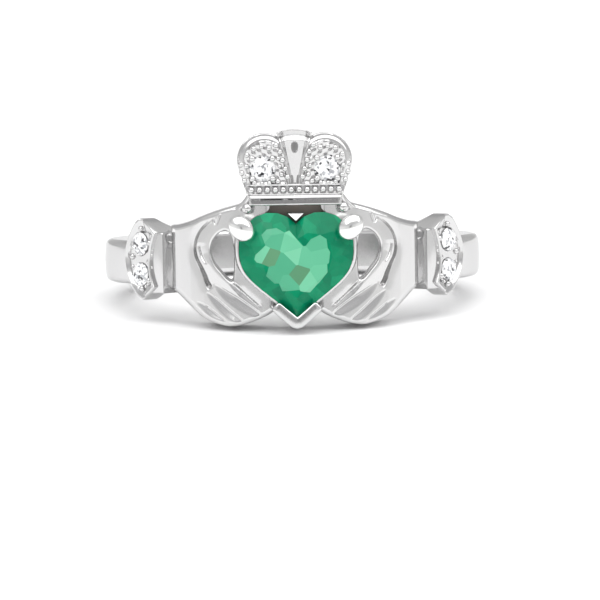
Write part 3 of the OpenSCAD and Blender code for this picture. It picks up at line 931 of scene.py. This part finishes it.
@dataclass
class Cuff:
    """A cuff: a pointed plate with a cut rim, a bed for two stones and corner beads."""

    angle_deg: float = 49.6
    width: float = 2.6
    height: float = 4.4
    front: float = FINGER_R + 2.35
    thick: float = 1.15
    rim: float = 0.11
    bed_drop: float = 0.2
    middle_z: float = 0.25
    stone_x: float = 0.078
    stone_z: float = 0.814
    seat_r: float = 0.645
    seat_depth: float = 0.62
    corner: float = 0.06
    bevel: float = 0.1
    point_bevel: float = 0.6
    cut_depth: float = 0.26
    cut_half: float = 0.34
    cut_from: float = 1.42
    corners: Places = ((0, -0.5), (0.04, 0.5), (-0.5, 0.32), (-0.45, -0.335))
    bows: Sequence[tuple[float, int]] = ((0.47, 60), (0.05, 18), (-0.15, 40), (0.03, 20))
    beads: Places = (
        (0.02, 0.37, 0.15), (-0.26, 0.2, 0.17), (0.3, 0.03, 0.17), (-0.24, -0.03, 0.17),
        (-0.22, -0.26, 0.17), (0.01, -0.36, 0.17), (-0.31, 0.28, 0.1), (-0.33, 0.12, 0.1),
        (-0.32, 0.05, 0.1), (-0.31, -0.1, 0.1), (-0.31, -0.18, 0.1), (-0.12, -0.33, 0.1),
        (0.14, -0.32, 0.1), (0.3, 0.14, 0.1), (0.3, -0.09, 0.1), (0.13, 0.36, 0.1))

    def outline(self) -> Array:
        """Four bowed sides: towards the band, the short top, the hollow side, the short foot.

        Returns:
            The closed line a + d t + 4 sag t (1 - t) across, side by side.
        """
        corners = np.array(self.corners) * [self.width, self.height]
        sides = []
        for a, b, (sag, steps) in zip(corners, np.roll(corners, -1, axis=0), self.bows):
            d = b - a
            out = np.array([d[1], -d[0]]) / np.linalg.norm(d)
            t = np.linspace(0, 1, steps, endpoint=False)[:, None]
            sides.append(a + d * t + out * (sag * self.width) * 4 * t * (1 - t))
        return np.concatenate(sides)

    def face(self, points: Array, gap: Array) -> Array:
        """Height of the cuff's face: rim, a slope that widens to the points, cut points, bed, seats.

        Args:
            points: Places on the face, from the cuff's middle.
            gap: Their distances to the outline.

        Returns:
            Distances from the finger's axis.
        """
        v = np.abs(points[..., 1])
        slope = self.bevel + (self.point_bevel - self.bevel) * smooth_step((v - 0.9) / 0.9)
        drop = self.bed_drop * np.clip((gap - self.rim) / slope, 0, 1)
        height = self.front - round_over(gap, self.corner) - drop
        point = np.clip(1 - np.abs(points[..., 0] + 0.1) / self.cut_half, 0, 1)
        height -= self.cut_depth * point * smooth_step((v - self.cut_from) / 0.12)
        for z in (self.stone_z, -self.stone_z):
            near = np.hypot(points[..., 0] - self.stone_x, points[..., 1] - z)
            height -= np.clip(1.1 * (self.seat_r - near), 0, self.seat_depth)
        return height

    def build(self, metal: Material) -> list[Piece]:
        """Makes the two cuffs.

        Args:
            metal: The finish.

        Returns:
            The left and the right cuff.
        """
        shares = 1 - np.concatenate([np.linspace(0, 0.25, 22), np.linspace(0.27, 0.98, 46)])
        back = self.front - self.thick
        shapes = [Plate(self.outline(), np.array([0.02, 0.0]), back, self.face, shares).grid()]
        for x, z, r in self.beads:
            at = (x * self.width, -(self.front - self.bed_drop), z * self.height)
            bead = ball(at, r, 14, 8)
            shapes.append(np.stack([bead[..., 0], bead[..., 2], -bead[..., 1]], axis=-1))
        turn = math.radians(self.angle_deg)
        turned = [facing(shape + [0, self.middle_z, 0], turn) for shape in shapes]
        return build_pair("cuff", turned, metal, 30)


@dataclass
class Crown:
    """The crown: two lobes with a stone each, the fan between them, ledge, knobs and fine beads."""

    front: float = 11.1
    back: float = 9.25
    foot: float = 3.55
    ledge_z: float = 3.13
    ledge_h: float = 0.47
    ledge_half: float = 2.46
    ledge_out: float = 0.2
    ledge_edge: float = 0.09
    dashes: Places = ((-1.85, -0.66), (-0.4, -0.12))
    knob_at: tuple[float, float, float] = (2.535, -10.99, 2.98)
    knob_r: float = 0.3
    bridge_front: float = 10.3
    bridge_half: float = 2.3
    lobe_x: float = 1.601
    lobe_z: float = 5.501
    lobe_r: float = 1.449
    base_half: float = 2.5
    rim: float = 0.07
    corner: float = 0.06
    step: float = 0.12
    bevel: float = 0.32
    bed: float = 0.09
    wave: float = 0.011
    stone_x: float = 1.708
    stone_z: float = 5.072
    seat_r: float = 0.72
    seat_depth: float = 0.75
    fan_top: float = 7.15
    fan_bow: float = 0.18
    fan_half: float = 0.94
    fan_foot: float = 4.3
    fan_foot_half: float = 0.14
    fan_out: float = 0.1
    lean: float = 0.085
    drop_z: float = 6.24
    drop_half: float = 0.19
    drop_above: float = 0.26
    drop_below: float = 0.36
    corner_reach: float = 0.76
    corner_r: float = 0.17
    edge_r: float = 0.155
    row_z: float = 3.95
    row_bed: tuple[float, float] = (3.74, 4.18)
    row_r: float = 0.175
    row_pitch: float = 0.42
    wire_z: tuple[float, float] = (4.2, 3.72)
    wire_half: float = 2.35
    wire_r: float = 0.055
    edge_beads: Places = (
        (0.98, 6.3, 0), (0.77, 5.95, 0), (0.64, 5.5, 0), (0.51, 5.05, 0), (0.4, 4.62, 0),
        (2.83, 5.3, 0.14), (2.8, 4.86, 0.14), (2.66, 4.45, 0.12))
    grains: Places = (
        (1.12, 6.36, 0.14), (1.35, 6.15, 0.17), (1.75, 6.24, 0.14), (2.15, 6.12, 0.16),
        (2.52, 5.8, 0.15), (0.86, 5.6, 0.13), (0.8, 5.2, 0.13), (0.7, 4.75, 0.14),
        (0.9, 4.4, 0.15), (1.35, 4.32, 0.13), (1.75, 4.3, 0.13), (2.15, 4.34, 0.14),
        (2.5, 4.7, 0.14), (2.56, 5.2, 0.14))
    post: Places = (
        (2.3, 3.8, 0.14), (2.42, 3.62, 0.15), (2.52, 3.45, 0.16), (2.66, 3.25, 0.18),
        (2.84, 3.06, 0.2), (3.02, 2.92, 0.2))

    def side_outline(self) -> Array:
        """One lobe with its share of the base: an arc over the top, then straight to the foot.

        Returns:
            The closed line.
        """
        turn = np.radians(np.linspace(-14, 186, 90))
        arc = self.lobe_r * np.stack([np.cos(turn), np.sin(turn)], -1) + [self.lobe_x, self.lobe_z]
        rest = [[0.08, 4.9], [0.0, 4.2], [0.0, self.foot], [1.2, self.foot],
                [self.base_half, self.foot]]
        return resample(np.concatenate([arc, rest]), 220)

    def side_face(self, points: Array, gap: Array) -> Array:
        """Height of a lobe's face: a pale rim, a slope, a waved bed, the beads' row and the seat.

        The bed's wave is a product of two cosines plus half a third one, in slanting directions.

        Args:
            points: Places x and z on the face.
            gap: Their distances to the outline.

        Returns:
            Distances from the finger's axis.
        """
        x, z = points[..., 0], points[..., 1]
        round_side = smooth_step((np.hypot(x - self.lobe_x, z - self.lobe_z) - 0.2) / 0.3)
        above = smooth_step((z - 4.1) / 0.3) * smooth_step((x - 0.2) / 0.2)
        height = self.front - round_side * above * round_over(gap - self.rim, self.bevel)
        height -= round_over(gap, self.corner)
        height -= self.step * above * (1 - smooth_step((gap - self.rim) / 0.03))
        wave = np.cos(TAU * (x + 0.4 * z) / 0.57) * np.cos(TAU * (z - 0.3 * x) / 0.49)
        wave += 0.5 * np.cos(TAU * (0.8 * x - z) / 0.33)
        bed = self.bed - self.lean * (z - 5.1) + self.wave * wave
        height -= bed * above * smooth_step((gap - self.bevel - 0.05) / 0.08)
        row = smooth_step((z - self.row_bed[0]) / 0.06) * smooth_step((self.row_bed[1] - z) / 0.06)
        height -= (0.12 + 0.2 * (z - 3.96)) * row
        near = np.hypot(x - self.stone_x, z - self.stone_z)
        return height - np.clip(1.6 * (self.seat_r - near), 0, self.seat_depth)

    def fan_outline(self) -> Array:
        """The fan: two straight sides that open upward and a bowed top.

        Returns:
            The closed line.
        """
        x = self.fan_half * np.linspace(1, -1, 41)
        top = np.stack([x, self._fan_edge(x)], axis=-1)
        foot = [[-self.fan_foot_half, self.fan_foot], [self.fan_foot_half, self.fan_foot]]
        return resample(np.concatenate([foot, top]), 200)

    def fan_face(self, points: Array, gap: Array) -> Array:
        """Height of the fan's face: a wedge between two sunk flanks, with a drop-shaped hollow.

        Args:
            points: Places x and z on the face.
            gap: Their distances to the outline.

        Returns:
            Distances from the finger's axis.
        """
        x, z = points[..., 0], points[..., 1]
        height = self.front + self.fan_out + self.lean * (z - 5.9) - round_over(gap, 0.05)
        off = np.abs(x) - 0.66 * self._fan_width(z)
        height -= 0.2 * smooth_step(off / 0.05) * (1 - 0.5 * smooth_step((off - 0.05) / 0.2))
        below = self._fan_edge(x) - z
        height -= 0.15 * (1 - np.clip((below - 0.34) / 0.22, 0, 1))
        height -= 0.05 * (np.abs(below - 0.31) < 0.03)
        tall = np.where(z > self.drop_z, self.drop_above, self.drop_below)
        bowl = (x / self.drop_half) ** 2 + ((z - self.drop_z) / tall) ** 2
        deep = 0.3 + (self.lean + 0.05) * (z - self.drop_z)
        return height - deep * smooth_step((1 - bowl) / 0.3)

    def _fan_edge(self, x: Array) -> Array:
        """Height of the fan's bowed top at a distance from its middle."""
        return self.fan_top - self.fan_bow * (x / self.fan_half) ** 2

    def _fan_width(self, z: Array) -> Array:
        """Half the fan's width at a height."""
        heights = (self.fan_foot, self.fan_top - 0.23)
        return np.interp(z, heights, (self.fan_foot_half, self.fan_half))

    def _wire(self, z: float) -> Array:
        """A fine wire across the crown, beside the row of beads, with rounded ends.

        Args:
            z: Its height.

        Returns:
            Its circles, from end to end.
        """
        half, r = self.wire_half, self.wire_r
        turn = np.linspace(0, TAU, 16, endpoint=False)
        end = np.array([half, half - 0.3 * r, half - r])
        x = np.concatenate([-end, np.linspace(-half + r, half - r, 22)[1:-1], end[::-1]])[:, None]
        size = r * np.concatenate([[0.3, 0.75, 1], np.ones(20), [1, 0.75, 0.3]])[:, None]
        y = 0.02 - self.front - size * np.cos(turn)
        return np.stack(np.broadcast_arrays(x, y, z + size * np.sin(turn)), axis=-1)

    def _ledge(self) -> Array:
        """The ledge: a bar whose face leans back, with round edges, a dashed groove and a fine step.

        Returns:
            Its sections, from end to end.
        """
        r, half, out = self.ledge_edge, self.ledge_half, self.front + self.ledge_out
        low, top = self.ledge_z, self.ledge_z + self.ledge_h
        under, over = np.radians(np.linspace(-90, 12, 8)), np.radians(np.linspace(12, 90, 8))
        section = np.concatenate([
            np.stack([out - r + r * np.cos(under), low + r + r * np.sin(under)], axis=-1),
            [[out - 0.012, top - 0.18], [out - 0.014, top - 0.15], [out - 0.016, top - 0.12]],
            np.stack([out - 0.02 - r + r * np.cos(over), top - r + r * np.sin(over)], axis=-1),
            [[out - 0.17, top], [out - 0.19, top + 0.04], [self.back, top + 0.04], [self.back, low]]])
        end = np.array([half, half - 0.03, half - 0.1])
        x = np.concatenate([-end, np.linspace(-half + 0.2, half - 0.2, 45), end[::-1]])
        share = np.concatenate([[0.72, 0.9, 1], np.ones(45), [1, 0.9, 0.72]])
        centre = np.array([out - 0.5, low + self.ledge_h / 2])
        spread = centre + share[:, None, None] * (section - centre)
        dash = sum(smooth_step((x - a) / 0.1) * smooth_step((b - x) / 0.1) for a, b in self.dashes)
        spread[:, len(under) + 1, 0] -= 0.03 + 0.2 * dash
        return np.stack(np.broadcast_arrays(x[:, None], -spread[..., 0], spread[..., 1]), axis=-1)

    def _post(self) -> Array:
        """The small post from the ledge's end down to the hand: circles along a short slope.

        Returns:
            Its circles, from the ledge down.
        """
        turn = np.linspace(0, TAU, 18, endpoint=False)
        x, z, r = np.array(self.post).T[..., None]
        depth = self.front - 0.12 - 0.3 * np.arange(len(x))[:, None] / len(x)
        return facing(np.stack([x + r * np.cos(turn), z + 0.4 * r * np.cos(turn),
                                depth + r * np.sin(turn)], axis=-1))

    def _bridge(self) -> Array:
        """The bridge behind the ledge that joins the two hands: a rounded bar.

        Returns:
            Its sections, from left to right.
        """
        low, high = (self.back, self.ledge_z - 1.0), (self.bridge_front, self.ledge_z + 0.1)
        section = rounded_box(low, high, (0.1, 0.1, 0.02, 0.02), 4)
        x = np.linspace(-self.bridge_half, self.bridge_half, 18)[:, None]
        return np.stack(np.broadcast_arrays(x, -section[:, 0], section[:, 1]), axis=-1)

    def _beads(self) -> Shells:
        """The beads at the stones' corners, the edge beads, the row, the grains and the wires.

        Returns:
            The beads of both sides.
        """
        beads = Shells()
        for angle in np.radians((45, 135, 225, 315)):
            across, up = self.corner_reach * math.cos(angle), self.corner_reach * math.sin(angle)
            at = (self.stone_x + across, 0.04 - self.front, self.stone_z + up)
            beads.add(ball(at, self.corner_r, 14, 8), mirror=True)
        fine = [(x, sunk - 0.02, z, self.edge_r) for x, z, sunk in self.edge_beads]
        row = np.arange(self.row_pitch / 2, self.base_half, self.row_pitch)
        fine += [(x, 0.02, self.row_z, self.row_r) for x in row]
        fine += [(x, 0.06, z, r) for x, z, r in self.grains]
        for x, y, z, r in fine:
            beads.add(ball((x, y - self.front, z), r), mirror=True)
        for z in self.wire_z:
            beads.add(self._wire(z))
        return beads

    def build(self, metal: Material, painted_shade: Material) -> list[Piece]:
        """Makes the crown, the bridge under it and its fine beads.

        Args:
            metal: The finish.
            painted_shade: The finish of the bridge: a dark brownish copy of the gold that paints the
                shade in the recess under the ledge.

        Returns:
            The crown, the bridge and the rows of beads.
        """
        crown, bridge = Shells(), Shells()
        shares = 1 - np.concatenate([np.linspace(0, 0.5, 40), np.linspace(0.515, 0.985, 34)])
        seat = np.array([self.stone_x, self.stone_z])
        side = Plate(self.side_outline(), seat, self.back, self.side_face, shares)
        crown.add(facing(side.grid()), mirror=True)
        shares = 1 - np.linspace(0, 0.985, 70)
        fan = Plate(self.fan_outline(), np.array([0.0, 6.2]), self.back, self.fan_face, shares)
        crown.add(facing(fan.grid()))
        crown.add(self._ledge())
        crown.add(ball(self.knob_at, self.knob_r, 24, 14), mirror=True)
        crown.add(self._post(), mirror=True)
        # The bridge wears the dark brownish copy of the gold: painted shade under the ledge.
        bridge.add(self._bridge())
        return [crown.build("crown", metal, Slot.METAL, crease_deg=35),
                bridge.build("bridge", painted_shade, Slot.METAL),
                self._beads().build("milgrain_beads", metal, Slot.METAL)]


class Value:
    """A number in a shader: Python's operators on it add Math nodes."""

    def __init__(self, graph: "Graph", socket: Socket) -> None:
        """Keeps the graph and the output socket that carries the number."""
        self.graph = graph
        self.socket = socket

    def _math(self, operation: str, *values: Any) -> "Value":
        """Adds a Math node on values."""
        return self.graph.value("ShaderNodeMath", {"operation": operation}, dict(enumerate(values)))

    def __add__(self, other: Any) -> "Value":
        """Sum."""
        return self._math("ADD", self, other)

    def __sub__(self, other: Any) -> "Value":
        """Difference."""
        return self._math("SUBTRACT", self, other)

    def __rsub__(self, other: Any) -> "Value":
        """Difference, reflected."""
        return self._math("SUBTRACT", other, self)

    def __mul__(self, other: Any) -> "Value":
        """Product."""
        return self._math("MULTIPLY", self, other)

    def __pow__(self, other: Any) -> "Value":
        """Power."""
        return self._math("POWER", self, other)

    __radd__ = __add__
    __rmul__ = __mul__


class Graph:
    """The node tree of one material, or of the room round the ring."""

    def __init__(self, name: str, room: bool = False) -> None:
        """Makes the material or the room with its shader, still unset.

        Args:
            name: Its name.
            room: Whether it is the room round the ring.
        """
        self.material = (bpy.data.worlds if room else bpy.data.materials).new(name)
        self.material.use_nodes = True
        self.tree = self.material.node_tree
        self.shader = self.tree.nodes["Background" if room else "Principled BSDF"]
        self.place = self.node("ShaderNodeTexCoord").outputs["Generated" if room else "Object"]

    def node(self, kind: str, settings: dict[str, Any] | None = None,
             sockets: dict[Any, Any] | None = None) -> bpy.types.Node:
        """Adds a node.

        Args:
            kind: The node's type.
            settings: Its properties; stops is a ramp's list of place and colour.
            sockets: Values or links for its inputs, by name or number.

        Returns:
            The node.
        """
        made = self.tree.nodes.new(kind)
        for key, setting in (settings or {}).items():
            if key == "stops":
                ramp = made.color_ramp
                while len(ramp.elements) < len(setting):
                    ramp.elements.new(0.5)
                for stop, (place, colour) in zip(ramp.elements, setting):
                    stop.position, stop.color = place, (*colour, 1)
            else:
                setattr(made, key, setting)
        for key, content in (sockets or {}).items():
            self.feed(made.inputs[key], content)
        return made

    def feed(self, socket: Socket, content: Any) -> None:
        """Links or sets one input socket.

        Args:
            socket: The input.
            content: A Value or an output socket, which is linked, or a plain setting.
        """
        source = content.socket if isinstance(content, Value) else content
        if isinstance(source, Socket):
            self.tree.links.new(source, socket)
        else:
            socket.default_value = source

    def value(self, kind: str, settings: dict[str, Any] | None, sockets: dict[Any, Any],
              output: int | str = 0) -> Value:
        """Adds a node and wraps one of its number outputs."""
        return Value(self, self.node(kind, settings, sockets).outputs[output])

    def noise(self, per_mm: float, detail: float = 3.0, rough: float = 0.5) -> Value:
        """Noise over the object with so many swells to the millimetre."""
        sockets = {"Vector": self.place, "Scale": per_mm / MM, "Detail": detail, "Roughness": rough}
        return self.value("ShaderNodeTexNoise", None, sockets, "Fac")

    def parts(self, place: Socket) -> list[Value]:
        """The three numbers of a place."""
        split = self.node("ShaderNodeSeparateXYZ", None, {0: place})
        return [Value(self, output) for output in split.outputs]

    def cells(self, per_mm: float, place: Socket, dimensions: str = "3D") -> bpy.types.Node:
        """Adds irregular cells, so many to the millimetre."""
        settings = {"feature": "F1", "voronoi_dimensions": dimensions}
        return self.node("ShaderNodeTexVoronoi", settings, {"Vector": place, "Scale": per_mm / MM})

    def chance(self, cells: bpy.types.Node, channel: int = 0) -> Value:
        """A number of its own for each cell."""
        return self.value("ShaderNodeSeparateColor", None, {0: cells.outputs["Color"]}, channel)

    def ramp(self, stops: Stops, share: Any) -> Socket:
        """The colour at a share along a ramp."""
        return self.node("ShaderNodeValToRGB", {"stops": stops}, {"Fac": share}).outputs["Color"]

    def step(self, value: Value, low: float, high: float) -> Value:
        """A smooth rise from 0 at low to 1 at high, or a fall where high is less."""
        sockets = {"Value": value, "From Min": low, "From Max": high}
        return self.value("ShaderNodeMapRange", {"interpolation_type": "SMOOTHSTEP"}, sockets)

    def blend(self, share: Any, first: Any, second: Any) -> Socket:
        """Mixes two colours by a share."""
        sockets = {"Factor": share, 6: first, 7: second}
        return self.node("ShaderNodeMix", {"data_type": "RGBA"}, sockets).outputs[2]

    def set(self, **sockets: Any) -> None:
        """Sets the shader's sockets, their names written with underscores."""
        for key, content in sockets.items():
            self.feed(self.shader.inputs[key.replace("_", " ")], content)


@dataclass(frozen=True)
class WhiteGold:
    """Bright polished white gold with faint polishing marks."""

    name: str = "white_gold_polished"
    pale: tuple[float, float, float, float] = (0.71, 0.705, 0.7, 1)
    deep: tuple[float, float, float, float] = (0.64, 0.64, 0.645, 1)
    shine: float = 0.12
    edge: float = 0.8
    clouds_per_mm: float = 0.25
    marks_per_mm: float = 6.0
    dents: float = 0.12
    dent_m: float = 2e-6

    def material(self) -> Material:
        """Builds the finish.

        Returns:
            The material: clouds of two greys, marks in its shine, both in its dents.
        """
        g = Graph(self.name)
        broad = g.noise(self.clouds_per_mm, 4)
        marks = g.noise(self.marks_per_mm, 6, 0.65)
        bump = g.node("ShaderNodeBump", None, {
            "Strength": self.dents, "Distance": self.dent_m, "Height": marks + 2 * broad})
        g.set(Base_Color=g.blend(broad, self.deep, self.pale), Metallic=1.0,
              Roughness=self.shine + 0.09 * marks, Specular_Tint=(self.edge, self.edge, self.edge, 1),
              Normal=bump.outputs["Normal"])
        return g.material


# A paler copy of the gold for the ball prongs: a painted highlight, as if more light fell on them.
PAINTED_HIGHLIGHT_GOLD = WhiteGold("white_gold_burnished", (0.87, 0.87, 0.86, 1), (0.82, 0.82, 0.82, 1))
# A dark brownish copy of the gold for the bridge: painted shade in the recess under the ledge, its
# brown a painted reflection of the stone's back.
PAINTED_SHADE_GOLD = WhiteGold("white_gold_unpolished", (0.3, 0.27, 0.24, 1), (0.13, 0.12, 0.11, 1), 0.4)


@dataclass(frozen=True)
class Emerald:
    """Green stone: painted reflections of pale mint facets under the table, deep cloudy green with
    painted facet flashes round them.
    """

    name: str = "emerald_cut"
    painted_facets: Stops = (
        (0.0, (0.15, 0.36, 0.2)), (0.16, (0.13, 0.34, 0.19)), (0.17, (0.08, 0.42, 0.24)),
        (0.4, (0.12, 0.5, 0.3)), (0.65, (0.18, 0.62, 0.38)), (1.0, (0.25, 0.7, 0.45)))
    deep_green_and_painted_flashes: Stops = (
        (0.0, (0.002, 0.12, 0.06)), (0.2, (0.002, 0.2, 0.1)), (0.55, (0.003, 0.28, 0.13)),
        (0.8, (0.008, 0.37, 0.18)), (1.0, (0.03, 0.47, 0.25)))
    table_x: float = 2.0
    table_z: float = 1.45
    middle_z: float = 1.46
    narrowing: float = 0.3
    painted_facet_per_mm: float = 1.3
    painted_flash_per_mm: float = 1.7
    clear: float = 0.2
    ior: float = 1.58

    def material(self) -> Material:
        """Builds the finish: whole painted facets belong to the table where their middles lie in it.

        The table is an egg: sqrt((x / table_x)^2 + (z / table_z)^2) < 1, x growing downward.

        Returns:
            The material.
        """
        g = Graph(self.name)
        cloud, specks = g.noise(0.9, 5, 0.6), g.noise(2.2, 5, 0.6)
        across, _, up = g.parts(g.place)
        flat = g.node("ShaderNodeCombineXYZ", None, {0: across, 1: up}).outputs[0]
        painted_facets = g.cells(self.painted_facet_per_mm, flat, "2D")
        small = g.cells(self.painted_flash_per_mm, flat, "2D")
        x, z = (part * (1 / MM) for part in g.parts(painted_facets.outputs["Position"])[:2])
        x = x * (1 + self.narrowing * (self.middle_z - z))
        z = z - self.middle_z
        reach = (x * x * (1 / self.table_x ** 2) + z * z * (1 / self.table_z ** 2)) ** 0.5
        # Painted reflections: pale mint facets inside the table, darker facet flashes in the deep
        # green round it.
        inner = g.ramp(self.painted_facets, g.chance(painted_facets))
        outer = g.ramp(self.deep_green_and_painted_flashes, 0.45 * g.chance(small, 1) + 0.55 * cloud)
        g.set(Base_Color=g.blend(g.step(reach, 1.0, 0.99), outer, inner),
              Roughness=0.01 + 0.03 * specks, IOR=self.ior, Transmission_Weight=self.clear,
              Specular_IOR_Level=0.05)
        return g.material


@dataclass(frozen=True)
class Diamond:
    """Clear bright stone with small dark glints."""

    name: str = "diamond_brilliant"
    glints: Stops = (
        (0.0, (0.02, 0.02, 0.025)), (0.09, (0.02, 0.02, 0.025)), (0.1, (0.35, 0.36, 0.38)),
        (0.36, (0.65, 0.66, 0.68)), (0.38, (1.0, 1.0, 1.0)), (1.0, (1.0, 1.0, 1.0)))
    glints_per_mm: float = 7.5
    glow: float = 0.12
    clear: float = 0.25
    ior: float = 2.0

    def material(self) -> Material:
        """Builds the finish.

        Returns:
            The material: each cell one colour of the ramp, with a faint glow of it.
        """
        g = Graph(self.name)
        haze = g.noise(3.0, 3)
        # The dark and white glints are painted facet reflections in the base colour; they also feed a
        # faint painted glow, though the stone is no lamp.
        glints = g.ramp(self.glints, g.chance(g.cells(self.glints_per_mm, g.place)))
        g.set(Base_Color=glints, Roughness=0.01 + 0.03 * haze, IOR=self.ior,
              Transmission_Weight=self.clear, Emission_Color=glints, Emission_Strength=self.glow)
        return g.material


@dataclass(frozen=True)
class Paper:
    """The pale matt floor."""

    name: str = "pale_floor"
    shaded: tuple[float, float, float, float] = (0.95, 0.95, 0.955, 1)
    pale: tuple[float, float, float, float] = (0.98, 0.98, 0.98, 1)
    grain_per_mm: float = 0.8

    def material(self) -> Material:
        """Builds the finish.

        Returns:
            The material.
        """
        g = Graph(self.name)
        grain = g.noise(self.grain_per_mm, 4)
        g.set(Base_Color=g.blend(grain, self.shaded, self.pale), Roughness=0.85)
        return g.material


@dataclass
class Lamp:
    """A soft light, wide by deep, on a sphere round the ring, aimed at its middle."""

    name: str
    azimuth: float
    elevation: float
    away: float
    size: tuple[float, float]
    radiance: float

    def build(self) -> None:
        """Places the lamp. Its power is radiance times pi times its area."""
        data = bpy.data.lights.new(self.name, "AREA")
        data.shape = "RECTANGLE"
        data.size, data.size_y = self.size
        data.energy = self.radiance * math.pi * self.size[0] * self.size[1]
        lamp = bpy.data.objects.new(self.name, data)
        out = direction(self.azimuth, self.elevation)
        lamp.location = out * self.away
        lamp.rotation_euler = (-out).to_track_quat("-Z", "Y").to_euler()
        bpy.context.scene.collection.objects.link(lamp)


def direction(azimuth: float, elevation: float) -> Vector:
    """The unit vector from the ring towards an azimuth from the front and an elevation."""
    a, e = math.radians(azimuth), math.radians(elevation)
    return Vector((math.sin(a) * math.cos(e), -math.cos(a) * math.cos(e), math.sin(e)))


@dataclass
class Studio:
    """The floor, the light and the camera."""

    walls: Stops = (
        (0.0, (0.88, 0.88, 0.88)), (0.08, (0.9, 0.9, 0.9)), (0.28, (0.88, 0.88, 0.88)),
        (0.38, (0.64, 0.64, 0.65)), (0.46, (0.64, 0.64, 0.65)), (0.58, (0.82, 0.82, 0.82)),
        (1.0, (0.9, 0.9, 0.9)))
    openings: Sequence[tuple[float, float, float]] = ((3.5, 12.0, 0.62), (14.0, 50.0, 0.15))
    back_shade: float = 0.22
    lamps: Sequence[Lamp] = (
        Lamp("over_light", 10, 72, 0.9, (1.7, 1.0), 1.5),
        Lamp("front_light", -35, 42, 0.8, (0.3, 0.3), 1.3),
        Lamp("side_light", 70, 35, 0.8, (0.3, 0.3), 1.2),
    )
    floor_half: float = 1.5
    camera_away: float = 0.2
    camera_azimuth: float = -1.2
    camera_elevation: float = 9.6
    camera_roll: float = -0.75
    half_view_mm: float = 16.76
    aim_right_mm: float = 0.391
    aim_down_mm: float = 2.458

    def build(self) -> None:
        """Sets the stage."""
        floor = bpy.data.meshes.new("floor")
        corners = [(x * self.floor_half, y * self.floor_half, CAD_LOW.z)
                   for x, y in ((-1, -1), (1, -1), (1, 1), (-1, 1))]
        floor.from_pydata(corners, [], [(0, 1, 2, 3)])
        floor.materials.append(Paper().material())
        ground = bpy.data.objects.new("floor", floor)
        bpy.context.scene.collection.objects.link(ground)
        for lamp in self.lamps:
            lamp.build()
        self._room()
        bpy.context.scene.view_settings.view_transform = "Standard"
        self._camera()

    def _room(self) -> None:
        """Makes the room's light: a pale tent, greyer behind, open where the camera looks in."""
        g = Graph("soft_room", room=True)
        x, y, z = g.parts(g.place)
        out = direction(self.camera_azimuth, self.camera_elevation)
        towards = x * out.x + y * out.y + z * out.z
        shade = 1 - self.back_shade * g.step(y, -0.2, 0.6)
        for near, far, depth in self.openings:
            rim = (math.cos(math.radians(angle)) for angle in (far, near))
            shade = shade * (1 - depth * g.step(towards, *rim))
        g.set(Color=g.ramp(self.walls, z), Strength=shade)
        bpy.context.scene.world = g.material

    def _camera(self) -> None:
        """Places the camera as the photograph's was."""
        e, down = math.radians(self.camera_elevation), self.aim_down_mm
        aim = Vector((self.aim_right_mm, -down * math.sin(e), -down * math.cos(e))) * MM
        out = direction(self.camera_azimuth, self.camera_elevation)
        data = bpy.data.cameras.new("photo_camera")
        data.angle = 2 * math.atan(self.half_view_mm * MM / self.camera_away)
        data.clip_start, data.clip_end = 0.001, 10
        camera = bpy.data.objects.new("photo_camera", data)
        camera.location = aim + out * self.camera_away
        camera.rotation_euler = (-out).to_track_quat("-Z", "Y").to_euler()
        camera.rotation_euler.rotate_axis("Z", math.radians(self.camera_roll))
        bpy.context.scene.collection.objects.link(camera)
        bpy.context.scene.camera = camera


def main() -> None:
    """Builds the ring's pieces in order, dresses the stones and sets the stage."""
    logging.basicConfig(level=logging.INFO, format="%(name)s: %(message)s")
    metal = WhiteGold().material()
    heart = Heart()
    Band().build(metal)
    Cuff().build(metal)
    Hand(heart).build(metal)
    Setting(heart).build(metal, PAINTED_HIGHLIGHT_GOLD.material())
    Crown().build(metal, PAINTED_SHADE_GOLD.material())
    HeartStone(heart).build(Emerald().material())
    clear = Diamond().material()
    for name, node in frame["nodes"].items():
        if "diamond" in name:
            node.data.materials.clear()
            node.data.materials.append(clear)
            LOG.info("%s: brilliant dressed", name)
    Studio().build()
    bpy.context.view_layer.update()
    LOG.info("sizes written")


if __name__ == "__main__":
    main()
